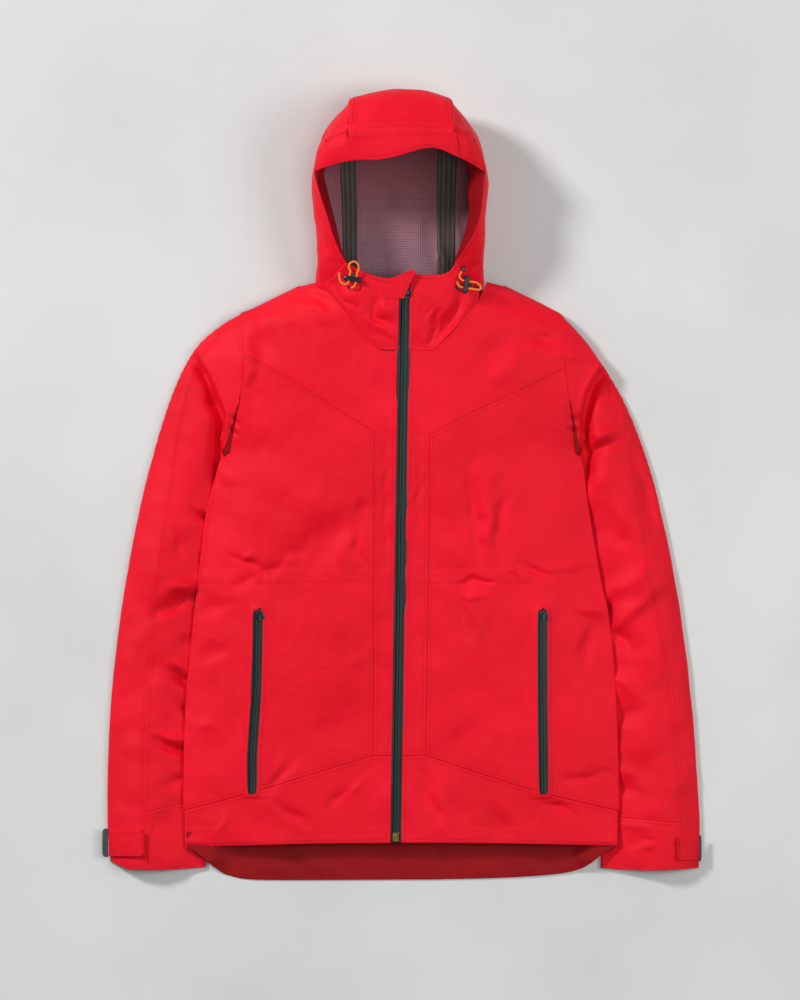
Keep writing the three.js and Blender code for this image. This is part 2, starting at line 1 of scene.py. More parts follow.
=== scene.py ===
import json
import bpy
import numpy as np
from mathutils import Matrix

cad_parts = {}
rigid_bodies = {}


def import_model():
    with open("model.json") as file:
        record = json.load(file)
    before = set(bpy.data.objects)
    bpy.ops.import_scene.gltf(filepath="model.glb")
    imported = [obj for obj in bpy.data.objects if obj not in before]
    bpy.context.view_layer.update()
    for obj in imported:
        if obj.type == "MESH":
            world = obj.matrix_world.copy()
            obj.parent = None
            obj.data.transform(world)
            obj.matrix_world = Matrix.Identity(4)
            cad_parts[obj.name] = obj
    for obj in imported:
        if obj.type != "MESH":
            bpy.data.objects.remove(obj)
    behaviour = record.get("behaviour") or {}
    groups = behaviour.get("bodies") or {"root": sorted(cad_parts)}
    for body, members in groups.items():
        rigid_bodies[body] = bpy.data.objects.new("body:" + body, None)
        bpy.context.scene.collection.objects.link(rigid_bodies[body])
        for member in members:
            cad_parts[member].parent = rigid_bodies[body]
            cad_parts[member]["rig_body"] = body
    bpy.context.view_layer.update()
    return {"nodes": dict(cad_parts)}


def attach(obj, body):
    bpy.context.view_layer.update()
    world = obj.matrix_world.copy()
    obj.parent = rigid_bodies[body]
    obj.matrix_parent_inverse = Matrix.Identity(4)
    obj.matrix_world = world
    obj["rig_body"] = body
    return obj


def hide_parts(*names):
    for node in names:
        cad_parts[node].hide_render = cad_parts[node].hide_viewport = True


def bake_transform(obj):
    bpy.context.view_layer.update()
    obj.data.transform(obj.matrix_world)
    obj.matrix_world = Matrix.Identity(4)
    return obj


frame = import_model()
nodes = frame["nodes"]
scene = bpy.context.scene
scene.view_settings.view_transform = "Standard"
mm = 0.001   # shapes below are worked out in millimetres
print("frame loaded:", len(nodes), "nodes")

# ---- camera: straight above, the hem towards the viewer ----
overhead = {"aim": (-2.5, -18, 30), "frameHeight": 1270, "lens": 400}
camera = bpy.data.objects.new("overheadCamera", bpy.data.cameras.new("overheadCamera"))
camera.data.lens = overhead["lens"]
camera.data.sensor_width = 36
camera.data.clip_end = 50
aimX, aimY, aimZ = overhead["aim"]
distance = overhead["frameHeight"] * overhead["lens"] / 36
camera.location = (aimX * mm, aimY * mm, (aimZ + distance) * mm)
scene.collection.objects.link(camera)
scene.camera = camera


# ---- small tools for surfaces ----
def smooth(start, end, value):
    """0 before start, 1 after end, and three t squared less two t cubed between them."""
    t = np.clip((value - start) / (end - start), 0, 1)
    return t * t * (3 - 2 * t)


def hill(away, width):
    """1 in the middle, falling as e to the minus (away over width) squared."""
    return np.exp(-(away / width) ** 2)


def pull(places, count):
    """How much each of count points adds to a Catmull-Rom curve, at places counted in points."""
    i = np.clip(places.astype(int), 0, count - 2)
    f = places - i
    table = np.zeros((len(places), count))
    shares = (((-f + 2 * f**2 - f**3) / 2, -1), ((2 - 5 * f**2 + 3 * f**3) / 2, 0),
              ((f + 4 * f**2 - 3 * f**3) / 2, 1), ((f**3 - f**2) / 2, 2))
    for share, step in shares:
        np.add.at(table, (np.arange(len(places)), np.clip(i + step, 0, count - 1)), share)
    return table


def through(points, places):
    """The Catmull-Rom curve through the points, at places counted in points."""
    return pull(np.asarray(places, float), len(points)) @ np.asarray(points, float)


def ripple(x, y, size, seed):
    """Gentle unevenness of about -1 to 1: twelve sine waves some size long, in seeded directions."""
    rng = np.random.default_rng(seed)
    total = 0
    for _ in range(12):
        turn, phase = rng.uniform(0, 2 * np.pi, 2)
        wave = size * rng.uniform(0.7, 1.4)
        total = total + np.sin(2 * np.pi * (x * np.cos(turn) + y * np.sin(turn)) / wave + phase)
    return total / 3.5


def folds(x, y, rows):
    """Creases: each row is x, y of one end, x, y of the other, half width and height. A crease is a rounded
    ridge, or a valley where its height is negative, that dies away at its ends and wanders a little."""
    wx, wy = x + 2.2 * ripple(x, y, 38, 5), y + 2.2 * ripple(x, y, 38, 6)
    total = np.zeros_like(x, dtype=float)
    for x0, y0, x1, y1, width, height in rows:
        long = np.hypot(x1 - x0, y1 - y0)
        along = ((wx - x0) * (x1 - x0) + (wy - y0) * (y1 - y0)) / long**2
        off = ((wx - x0) * (y1 - y0) - (wy - y0) * (x1 - x0)) / long
        past = np.maximum(np.abs(along - 0.5) - 0.5, 0) * long
        fade = 0.35 + 0.65 * smooth(-0.1, 0.5, 0.5 - np.abs(along - 0.5))
        total += height * hill(off, width) * hill(past, width * 1.4) * fade
    return total


# how far from a seam the cloth gets rows of points, for its roll and its stitching
nearEdge = np.array([0, 0.35, 0.7, 1.1, 1.6, 2.6, 3.7, 4.5, 5.3, 6.6])


def spacing(start, end, step, perMm=1.0, at=()):
    """Places from start to end about step mm apart, closer at both ends and beside the places in at."""
    fine = nearEdge * perMm
    room = (end - start) / 2
    parts = [np.arange(start + fine[-1] + step * perMm, end - fine[-1] - 0.6 * step * perMm, step * perMm)]
    parts += [start + fine[fine < room], end - fine[fine < room]]
    for place in at:
        parts += [place + fine[:5], place - fine[1:5]]
    places = np.unique(np.concatenate(parts).round(7))
    keep = np.append(np.diff(places) > 0.12 * perMm, True)
    return places[keep & (places >= start) & (places <= end)]


def lengthsAlong(grid, axis):
    """Distance run along the grid from its first row or column."""
    steps = np.linalg.norm(np.diff(grid, axis=axis), axis=2)
    return np.insert(np.cumsum(steps, axis=axis), 0, 0, axis=axis)


def facing(grid):
    """Unit normals: the cross product of the steps along the two directions of the grid."""
    across = np.cross(np.gradient(grid, axis=0), np.gradient(grid, axis=1))
    return across / np.maximum(np.linalg.norm(across, axis=2, keepdims=True), 1e-9)


def fromSeams(grid, sides):
    """Distance from the nearest of the named borders: start and end of the rows, near and far column."""
    down, over = lengthsAlong(grid, 0), lengthsAlong(grid, 1)
    away = {"start": down, "end": down[-1] - down, "near": over, "far": over[:, -1:] - over}
    picked = [away[s] for s in sides]
    return np.min(picked, axis=0) if picked else np.full(grid.shape[:2], 99.0)


seamRoll = {"depth": 0.6, "width": 1.1, "stitchAt": 4.5, "stitchDip": 0.08}


def rolled(away):
    """Drop beside a seam: deepest at the cut edge, gone after its width, with a dip at the stitching."""
    drop = seamRoll["depth"] * (1 - smooth(0, seamRoll["width"], away)) ** 1.3
    return drop + seamRoll["stitchDip"] * hill(away - seamRoll["stitchAt"], 0.8)


# cloth pieces by the start of their names: the width and length cut, in metres, the share of that
# rectangle which the cut uses, and what each lies on
cut = {
    "frontYoke_": (0.19, 0.6, 0.32, "backPanel"), "frontSide_": (0.29, 0.58, 0.71, "backPanel"),
    "frontHem_": (0.283, 0.112, 0.69, "backPanel"), "backPanel": (0.554, 0.752, 0.88, "floor"),
    "tailFacing": (0.553, 0.061, 0.9, "backPanel"), "sleeveOuter_": (0.152, 0.757, 0.62, "sleeveInner_"),
    "sleeveInner_": (0.31, 0.68, 0.42, "floor"), "cuffCloth_": (0.16, 0.082, 0.92, "floor"),
    "cuffTab_left": (0.038, 0.031, 1, "cuffCloth_left"),
    "cuffTab_right": (0.052, 0.038, 1, "cuffCloth_right"),
    "hoodSide_": (0.15, 0.359, 0.59, "hoodLining"), "hoodCenter": (0.124, 0.382, 0.85, "hoodLining"),
    "hoodPeak": (0.245, 0.047, 0.78, "hoodCenter"), "rimFacing_": (0.033, 0.167, 0.72, "hoodLining"),
    "hoodLining": (0.36, 0.38, 0.72, "backPanel"), "seamTape_back": (0.024, 0.322, 0.72, "hoodLining"),
    "seamTape_side": (0.02, 0.237, 0.74, "hoodLining"),
    "collar_": (0.125, 0.1, 0.7, "backPanel"), "chinGuard": (0.035, 0.03, 0.9, "main_zip_slider")}


def declareCut(piece):
    """Looks up which flat cloth a panel was cut from and what it lies on; a name ending in _ is on the same
    side as the panel. Nothing is done with what it finds.
    """
    for start, (wide, long, share, under) in cut.items():
        if piece.name.startswith(start):
            if under.endswith("_"):
                under += piece.name.split("_")[-1]


def build(name, grid, finishes, stands=(), body=None, thick=0.0, away=(0, 0, -900), seamAway=None,
          ring=False, uv=None):
    """Quads between neighbouring points of the grid, facing away from a point, then thickened inward."""
    grid = np.asarray(grid, float)
    rows, columns = grid.shape[:2]
    if uv is None:
        down, over = lengthsAlong(grid, 0), lengthsAlong(grid, 1)
        uv = np.stack([down[:, columns // 2][:, None] + 0 * over, over[rows // 2][None, :] + 0 * down],
                      axis=2) * mm
    middle = (grid[:-1, :-1] + grid[1:, 1:]) / 2
    normal = np.cross(grid[1:, 1:] - grid[:-1, :-1], grid[:-1, 1:] - grid[1:, :-1])
    turned = (normal * (middle - np.array(away, float))).sum() < 0
    points = grid[:, :-1] if ring else grid
    width = points.shape[1]
    i, j = np.meshgrid(np.arange(rows - 1), np.arange(columns - 1), indexing="ij")
    corners = [(i, j), (i + 1, j), (i + 1, j + 1), (i, j + 1)]
    if turned:
        corners = corners[::-1]
    faces = np.stack([r * width + c % width for r, c in corners], axis=2).reshape(-1, 4)
    faceUv = np.stack([uv[r, c] for r, c in corners], axis=2).reshape(-1, 2)
    mesh = bpy.data.meshes.new(name)
    mesh.from_pydata((points.reshape(-1, 3) * mm).tolist(), [], faces.tolist())
    mesh.uv_layers.new(name="cloth").data.foreach_set("uv", faceUv.astype(np.float32).ravel())
    if seamAway is not None:
        seam = mesh.attributes.new("seamAway", "FLOAT", "POINT")
        seam.data.foreach_set("value", (seamAway[:, :width] * mm).astype(np.float32).ravel())
    mesh.polygons.foreach_set("use_smooth", np.ones(len(faces), bool))
    for finish in finishes:
        mesh.materials.append(finish)
    piece = bpy.data.objects.new(name, mesh)
    scene.collection.objects.link(piece)
    if thick:
        solid = piece.modifiers.new("cloth thickness", "SOLIDIFY")
        solid.thickness, solid.offset = thick * mm, -1
        solid.use_quality_normals = True
        solid.material_offset = len(finishes) - 1
    declareCut(piece)
    if stands:
        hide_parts(*stands)
    if body:
        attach(piece, body)
    return piece


def tube(path, radius, sides=14):
    """A round section carried along a path, turned no more than the path turns; returns grid and uv."""
    path = np.asarray(path, float)
    ahead = np.gradient(path, axis=0)
    ahead /= np.linalg.norm(ahead, axis=1, keepdims=True)
    sideways = [np.cross(ahead[0], (0.3, 0.2, 1.0))]
    for step in ahead[1:]:
        sideways.append(sideways[-1] - step * (sideways[-1] @ step))
    sideways = np.array(sideways)
    sideways /= np.linalg.norm(sideways, axis=1, keepdims=True)
    upward = np.cross(ahead, sideways)
    angle = np.linspace(0, 2 * np.pi, sides + 1)
    section = np.cos(angle)[:, None] * sideways[:, None] + np.sin(angle)[:, None] * upward[:, None]
    grid = path[:, None] + radius * section
    run = np.insert(np.cumsum(np.linalg.norm(np.diff(path, axis=0), axis=1)), 0, 0)
    uv = np.stack(np.broadcast_arrays(run[:, None] * mm, (angle / (2 * np.pi))[None, :]), axis=2)
    return grid, uv


def evenly(points, step):
    """The Catmull-Rom curve through the points, resampled to even steps."""
    fine = through(points, np.linspace(0, len(points) - 1, 60 * len(points)))
    run = np.insert(np.cumsum(np.linalg.norm(np.diff(fine, axis=0), axis=1)), 0, 0)
    places = np.linspace(0, run[-1], max(2, int(round(run[-1] / step)) + 1))
    return np.stack([np.interp(places, run, fine[:, k]) for k in range(fine.shape[1])], axis=1)


# ---- finishes ----
def plain(colour):
    """A colour given as 0 to 255 steps, made linear."""
    c = np.array(colour, float) / 255
    return tuple(np.where(c <= 0.04045, c / 12.92, ((c + 0.055) / 1.055) ** 2.4)) + (1.0,)


def newFinish(name, roughness, **sockets):
    finish = bpy.data.materials.new(name)
    finish.use_nodes = True
    tree = finish.node_tree
    shader = tree.nodes["Principled BSDF"]
    shader.inputs["Roughness"].default_value = roughness
    for label, value in sockets.items():
        shader.inputs[label.replace("_", " ")].default_value = value
    return finish, tree, shader


def put(tree, kind, inputs=(), **settings):
    """A node of that kind with its settings, its inputs set or linked by name or number."""
    node = tree.nodes.new(kind)
    for label, value in settings.items():
        setattr(node, label, value)
    for label, value in dict(inputs).items():
        if isinstance(value, bpy.types.NodeSocket):
            tree.links.new(value, node.inputs[label])
        else:
            node.inputs[label].default_value = value
    return node


def sums(tree, operation, first, second=0.0, clamp=False):
    return put(tree, "ShaderNodeMath", {0: first, 1: second}, operation=operation,
               use_clamp=clamp).outputs[0]


def ramp(tree, value, stops):
    """Colours along a value; each stop is its place and colour."""
    node = put(tree, "ShaderNodeValToRGB", {"Fac": value})
    band = node.color_ramp
    while len(band.elements) < len(stops):
        band.elements.new(0.5)
    for element, (place, colour) in zip(band.elements, stops):
        element.position, element.color = place, plain(colour)
    return node.outputs["Color"]


def bump(tree, height, distanceMm, strength=1.0, under=None):
    inputs = {"Height": height, "Distance": distanceMm * mm, "Strength": strength}
    if under is not None:
        inputs["Normal"] = under
    return put(tree, "ShaderNodeBump", inputs).outputs["Normal"]


def noise(tree, where, scale, detail=3.0):
    return put(tree, "ShaderNodeTexNoise", {"Vector": where, "Scale": scale, "Detail": detail}).outputs[0]


def threads(tree, where, scale, direction):
    return put(tree, "ShaderNodeTexWave", {"Vector": where, "Scale": scale, "Distortion": 0.6,
                                           "Detail": 1.0,
               "Detail Scale": 3.0}, wave_type="BANDS", bands_direction=direction).outputs["Fac"]


def onPiece(tree):
    """A point's place on its piece, in metres."""
    return put(tree, "ShaderNodeTexCoord").outputs["Object"]


def clothMap(tree):
    """How far along and across its cloth a point lies; on a cord, across is a share of the turn."""
    uv = put(tree, "ShaderNodeTexCoord").outputs["UV"]
    parts = put(tree, "ShaderNodeSeparateXYZ", {0: uv})
    return parts.outputs[0], parts.outputs[1]


def eased(tree, value, start, end, top=1.0):
    """0 before start, top after end, and eased between them."""
    return put(tree, "ShaderNodeMapRange", {0: value, 1: start, 2: end, 3: 0.0, 4: top},
               interpolation_type="SMOOTHSTEP").outputs[0]


def mixed(tree, share, first, second):
    """The first colour with a share of the second."""
    return put(tree, "ShaderNodeMix", {"Factor": share, 6: first, 7: second}, data_type="RGBA").outputs[2]


def shellFinish(name, deep, bright, stitched=True):
    """Smooth woven face fabric: fine crossed threads, small crumples, a little colour drift and stitching."""
    finish, tree, shader = newFinish(name, 0.56, Sheen_Weight=0.04, Sheen_Roughness=0.45,
                                     Specular_IOR_Level=0.16)
    shader.inputs["Sheen Tint"].default_value = plain((255, 150, 150))
    where = onPiece(tree)
    drift = noise(tree, where, 9)
    colour = ramp(tree, drift, [(0.3, deep), (0.7, bright)])
    weave = sums(tree, "MULTIPLY", threads(tree, where, 620, "X"), threads(tree, where, 540, "Y"))
    crumple = noise(tree, where, 55, 4)
    grain = noise(tree, where, 900, 2)
    normal = bump(tree, crumple, 1.5, 0.6)
    normal = bump(tree, weave, 0.12, 0.55, normal)
    if stitched:
        edge = put(tree, "ShaderNodeAttribute", attribute_name="seamAway").outputs["Fac"]
        onLine = put(tree, "ShaderNodeMath", {0: edge, 1: seamRoll["stitchAt"] * mm, 2: 0.42 * mm},
                     operation="COMPARE").outputs[0]
        run = sums(tree, "ADD", *clothMap(tree))
        dash = sums(tree, "GREATER_THAN", sums(tree, "SINE", sums(tree, "MULTIPLY", run, 2500.0)), -0.35)
        stitch = sums(tree, "MULTIPLY", onLine, dash)
        normal = bump(tree, stitch, 0.35, 0.9, normal)
        colour = mixed(tree, sums(tree, "MULTIPLY", stitch, 0.35), colour, plain((150, 6, 22)))
    tree.links.new(colour, shader.inputs["Base Color"])
    rough = put(tree, "ShaderNodeMapRange", {0: grain, 3: 0.5, 4: 0.64})
    tree.links.new(rough.outputs[0], shader.inputs["Roughness"])
    tree.links.new(normal, shader.inputs["Normal"])
    return finish


def knitFinish(name, ground, dots):
    """Printed knit backer: rows of small raised dots set half a step apart, over a slightly uneven ground."""
    finish, tree, shader = newFinish(name, 0.8, Sheen_Weight=0.2, Sheen_Roughness=0.5,
                                     Specular_IOR_Level=0.25)
    along, across = clothMap(tree)
    dotEvery = 4.6 * mm
    waves = [sums(tree, "SINE", sums(tree, "MULTIPLY", sums(tree, kind, along, across),
                                     2 * np.pi / dotEvery))
             for kind in ("ADD", "SUBTRACT")]
    dotAt = eased(tree, sums(tree, "MULTIPLY", *waves), 0.15, 0.6)
    where = onPiece(tree)
    drift = noise(tree, where, 30)
    base = ramp(tree, drift, [(0.3, ground), (0.75, tuple(min(255, v + 14) for v in ground))])
    dotted = mixed(tree, dotAt, base, plain(dots))
    # painted shade with painted red bounce light: the knit darkens to maroon towards the crown, under the
    # peak
    crownShadeShare = eased(tree, put(tree, "ShaderNodeSeparateXYZ", {0: where}).outputs[1], 0.26, 0.42, 0.68)
    colour = mixed(tree, crownShadeShare, dotted, plain((126, 38, 45)))
    tree.links.new(colour, shader.inputs["Base Color"])
    fuzz = bump(tree, noise(tree, where, 1500, 2), 0.15, 0.5)
    tree.links.new(bump(tree, dotAt, 0.25, 0.7, fuzz), shader.inputs["Normal"])
    return finish


def tapeFinish(name, dark, light, stripes, roughness=0.42):
    """Film bonded tape: long faint stripes across its width and a fine grain."""
    finish, tree, shader = newFinish(name, roughness, Specular_IOR_Level=0.28)
    along, across = clothMap(tree)
    stripe = sums(tree, "SINE", sums(tree, "MULTIPLY", across, 2 * np.pi / (stripes * mm)))
    value = put(tree, "ShaderNodeMapRange", {0: stripe, 1: -1.0, 2: 1.0}).outputs[0]
    tree.links.new(ramp(tree, value, [(0.25, dark), (0.85, light)]), shader.inputs["Base Color"])
    where = onPiece(tree)
    normal = bump(tree, value, 0.25, 0.6)
    tree.links.new(bump(tree, noise(tree, where, 700, 3), 0.12, 0.5, normal), shader.inputs["Normal"])
    return finish


def hardFinish(name, colour, lighter, roughness, metallic=0.0, grain=900.0, depth=0.05, **sockets):
    """Moulded or cast part: fine surface grain, faint colour drift, worn lighter where the noise peaks."""
    finish, tree, shader = newFinish(name, roughness, Metallic=metallic, **sockets)
    where = onPiece(tree)
    wear = noise(tree, where, 260, 4)
    tree.links.new(ramp(tree, wear, [(0.45, colour), (0.8, lighter)]), shader.inputs["Base Color"])
    rough = put(tree, "ShaderNodeMapRange",
                {0: noise(tree, where, 420, 3), 3: roughness - 0.08, 4: roughness + 0.12})
    tree.links.new(rough.outputs[0], shader.inputs["Roughness"])
    tree.links.new(bump(tree, noise(tree, where, grain, 3), depth, 0.6), shader.inputs["Normal"])
    return finish


def braidFinish(name, colour, dark):
    """Braided sheath: two sets of yarns winding opposite ways, from the cord's own length and turn."""
    finish, tree, shader = newFinish(name, 0.6, Sheen_Weight=0.25, Sheen_Roughness=0.4)
    along, across = clothMap(tree)
    long = sums(tree, "MULTIPLY", along, 2 * np.pi / (2.6 * mm))
    turned = sums(tree, "MULTIPLY", across, 2 * np.pi * 4)
    yarns = [sums(tree, "SINE", sums(tree, kind, long, turned)) for kind in ("ADD", "SUBTRACT")]
    yarn = sums(tree, "MAXIMUM", *yarns)
    value = put(tree, "ShaderNodeMapRange", {0: yarn, 1: -0.6, 2: 1.0}).outputs[0]
    # the darker orange in the gaps between the yarns is painted shade
    tree.links.new(ramp(tree, value, [(0.0, dark), (0.6, colour)]), shader.inputs["Base Color"])
    tree.links.new(bump(tree, value, 0.25, 0.8), shader.inputs["Normal"])
    return finish


shell = shellFinish("redShell", (224, 5, 32), (238, 10, 40))
# the same red cloth in a darker copy: painted shade for panel insides, the tail facing and the rim facings
shellInsidePaintedShade = shellFinish("redShellInsidePaintedShade", (138, 1, 9), (152, 2, 13), stitched=False)
# the knit is darkened to maroon towards the hood's crown with painted shade
knit = knitFinish("greyKnitBacker", (128, 84, 95), (196, 158, 172))
seamTape = tapeFinish("taupeSeamTape", (62, 50, 48), (84, 72, 68), 6.5, roughness=0.62)
# the teal stripes along the near-black film are painted sheen
zipFilmPaintedSheen = tapeFinish("blackZipFilm", (7, 16, 17), (22, 44, 44), 5.2, roughness=0.4)
blackMetal = hardFinish("blackMetal", (26, 34, 35), (74, 96, 96), 0.34, metallic=0.85)
brass = hardFinish("dullBrass", (96, 86, 38), (170, 150, 74), 0.36, metallic=0.9)
moulded = hardFinish("blackMoulded", (20, 20, 23), (52, 52, 58), 0.36, grain=1400.0, depth=0.04)
rubber = hardFinish("slateRubber", (42, 52, 57), (70, 82, 88), 0.62, grain=1800.0, depth=0.1)
hookPile = hardFinish("hookAndLoop", (18, 18, 20), (60, 60, 64), 0.9, grain=2600.0, depth=0.6)
pocketMesh = hardFinish("pocketMesh", (30, 30, 34), (66, 66, 72), 0.85, grain=1500.0, depth=0.4)
cordBraid = braidFinish("orangeBraid", (255, 132, 20), (198, 78, 6))
cadFinish = {"slider": blackMetal, "puller": blackMetal, "spring": blackMetal, "zip_box": brass,
             "barrel": moulded,
             "button": moulded, "eyelet": moulded, "hook_pad": hookPile, "loop_pad": hookPile,
             "pocket_bag": pocketMesh,
             "zip_tape": zipFilmPaintedSheen, "tab_tip": rubber, "cord": cordBraid, "lining": knit}
for name, node in nodes.items():
    found = [finish for part, finish in cadFinish.items() if part in name]
    for held in node.material_slots:
        held.material = found[0] if found else shell
print("finishes made")

# ---- hood cords, in the plan of their locks ----
hoodCord = {
    "left": {"middle": (81.3, 255, 65.94), "turn": -99,
             "start": [(-18.5, -7, -3), (-13, -9, -0.6), (-8, -9.8, 0)],
             "loop": [(-4, 13, 0), (-1.6, 17.6, 0), (1.5, 19, 0), (4, 17.4, 0)],
             "end": [(2.6, -9.2, 0), (0.2, -11, -1), (-1, -11.2, -3)]},
    "right": {"middle": (-62.5, 262, 71.44), "turn": -9.5,
              "start": [(-17.6, 4.6, -3), (-17.4, 0.5, -0.8), (-14.5, -5.6, 0), (-9, -8.6, 0)],
              "loop": [(-7.2, 14, 0), (-6.4, 19, 0), (-1.6, 22, 0), (3.4, 19.6, 0), (5.4, 14, 0)],
              "end": [(3.6, -9, 0), (1, -11, -1.2), (0.2, -11.4, -3)]},
    "hole": 4.4, "diameter": 2.6}
for side in ("left", "right"):
    plan = hoodCord[side]
    hole = hoodCord["hole"]
    route = plan["start"] + [(-hole, y, 0) for y in (-5, 0, 5, 9)] + plan["loop"] \
        + [(hole, y, 0) for y in (9, 5, 0, -5)] + plan["end"]
    a = np.radians(plan["turn"])
    turn = np.array([[np.cos(a), -np.sin(a), 0], [np.sin(a), np.cos(a), 0], [0, 0, 1]])
    path = evenly(np.array(route) @ turn.T + plan["middle"], 0.7)
    grid, uv = tube(path, hoodCord["diameter"] / 2)
    cordPiece = build("hoodCord_" + side, grid, [cordBraid], ["hood_cord_" + side],
                      nodes["hood_cord_" + side]["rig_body"], away=path.mean(0), ring=True,
                      uv=uv)
print("cords laid")

# ---- how high the front lies ----
lie = {"foldTop": 17.3, "foldLift": 13, "zipHem": (-454, 24), "zipTop": (236, 58), "zipLean": 11,
       "zipMiddle": 3,
       "tapeEdge": 6.2, "waist": (-105, -124)}
heightEdge = [(263, 112), (255, 129), (217, 206), (204, 228), (178, 253), (140, 273), (90, 262), (60, 240),
              (44, 230), (-22, 240), (-105, 252), (-205, 266), (-314, 274), (-502, 276)]
edgeAt = np.arange(-520, 300, 4.0)
edgeReach = np.interp(edgeAt, [y for y, _ in heightEdge][::-1], [w for _, w in heightEdge][::-1])
window = hill(np.arange(-6, 7), 3.2)
edgeReach = np.convolve(np.pad(edgeReach, 6, mode="edge"), window / window.sum(), mode="valid")


def zipHeight(y):
    (y0, z0), (y1, z1) = lie["zipHem"], lie["zipTop"]
    return z0 + (z1 - z0) * (y - y0) / (y1 - y0)


def zipMiddle(y):
    return lie["zipMiddle"] + lie["zipLean"] * (y - lie["zipTop"][0]) / (lie["zipTop"][0]
            - lie["zipHem"][0])


def frontLie(x, y):
    """Front falling from the zip to the folded edge as one minus the cube of the way out."""
    out = np.minimum(1, np.abs(x) / np.interp(y, edgeAt, edgeReach))
    return lie["foldTop"] + (zipHeight(y) - lie["foldTop"]) * (1 - out**3)


def backLie(x, y):
    """Back on the ground in the middle, lifted along its edges over the sleeves."""
    lift = np.clip((62 - (np.interp(y, edgeAt, edgeReach) - np.abs(x))) / 32, 0, 1)
    return lie["foldLift"] * lift**2 * (3 - 2 * lift) * np.clip((y + 502) / 26, 0, 1)


pocketZip = {-1: [(-183, -157), (-183.5, -205), (-184, -253), (-188, -304), (-190.5, -342), (-190.5, -391)],
             1: [(178.5, -160), (178.5, -205), (178.5, -253), (179, -304), (179.5, -342), (180, -391)],
             "middle": -274, "halfLength": 116,
             "outline": {-1: (-207, -164, -397, -128), 1: (157, 198, -398, -122)}}
frontFolds = [
    # wearer's right
    (-178, 205, -172, 150, 16, -3.4), (-193, 212, -197, 120, 9, 2.4), (-128, 243, -94, 232, 8, -3),
    (-118, 226, -76, 212, 10, 2), (-170, 214, -120, 206, 12, 1.6), (-190, 150, -186, 96, 10, -2.2),
    (-214, -90, -173, -108, 5, -2.6), (-212, -129, -188, -112, 5, -2.4), (-170, -108, -150, -97, 5, -2),
    (-206, -98, -190, -84, 4, 1.8), (-150, -98, -128, -92, 6, 1.4),
    (-36, -16, -104, -88, 15, -3), (-58, -22, -78, -96, 10, 2.2), (-100, -56, -162, -104, 14, -2.2),
    (-84, 8, -150, -60, 26, 2), (-60, -60, -52, -100, 6, -1.6),
    (-172, -388, -140, -350, 7, -2.2), (-150, -335, -55, -292, 22, -2), (-66, -226, -38, -212, 11, 1.3),
    (-158, -404, -122, -428, 6, -2.2), (-94, -410, -70, -388, 6, -2), (-70, -395, -44, -372, 7, 1.5),
    (-236, -444, -224, -418, 6, 1.2), (-20, 62, -20, -98, 5, -1.5), (-258, -218, -226, -206, 8, -2),
    (-252, -160, -222, -148, 8, -1.6), (-262, -300, -232, -310, 9, 1.4), (-230, 20, -206, 6, 9, 1.5),
    (-218, 84, -206, 78, 3, -2.4), (-222, 72, -208, 66, 3, -2.2), (-205, 40, -150, 60, 20, -1.2),
    # wearer's left
    (158, 190, 203, 180, 10, -3.4), (206, 170, 232, 162, 7, 2.2), (134, 184, 98, 150, 18, -2.4),
    (150, 168, 112, 128, 14, 1.6), (86, 24, 98, -95, 8, -3), (110, 22, 112, -92, 11, 2.2),
    (128, 4, 122, -90, 9, -2), (72, -126, 114, -120, 4, -2.6), (80, -137, 102, -141, 5, 1.4),
    (150, -99, 190, -117, 5, -2), (190, -104, 236, -100, 6, 1.5), (128, -98, 150, -116, 4, 1.4),
    (241, -184, 229, -226, 8, -2.8), (224, -150, 262, -166, 7, 1.8), (179, -403, 217, -415, 6, -2.6),
    (22, -352, 40, -420, 8, -2), (48, -374, 62, -450, 9, 1.5), (204, -375, 262, -367, 6, -1.8),
    (76, -140, 79, -184, 7, -1.6), (94, -150, 96, -230, 10, 1.2), (22, 62, 22, -60, 5, -1.3),
    (212, 86, 228, 84, 3, -2.2), (212, 74, 228, 70, 3, -2.2), (100, -300, 60, -340, 18, -1.6),
    (110, -400, 128, -450, 9, -1.8), (140, -412, 158, -452, 8, 1.5), (44, 30, 60, -40, 12, 1.6),
]


def pocketLine(side, y):
    points = np.array(pocketZip[side], float)
    return np.interp(y, points[::-1, 1], points[::-1, 0])


def besidePocket(side, x, y):
    """Distance from a pocket's zip."""
    past = np.maximum(np.abs(y - pocketZip["middle"]) - pocketZip["halfLength"], 0)
    return np.hypot(x - pocketLine(side, y), past)


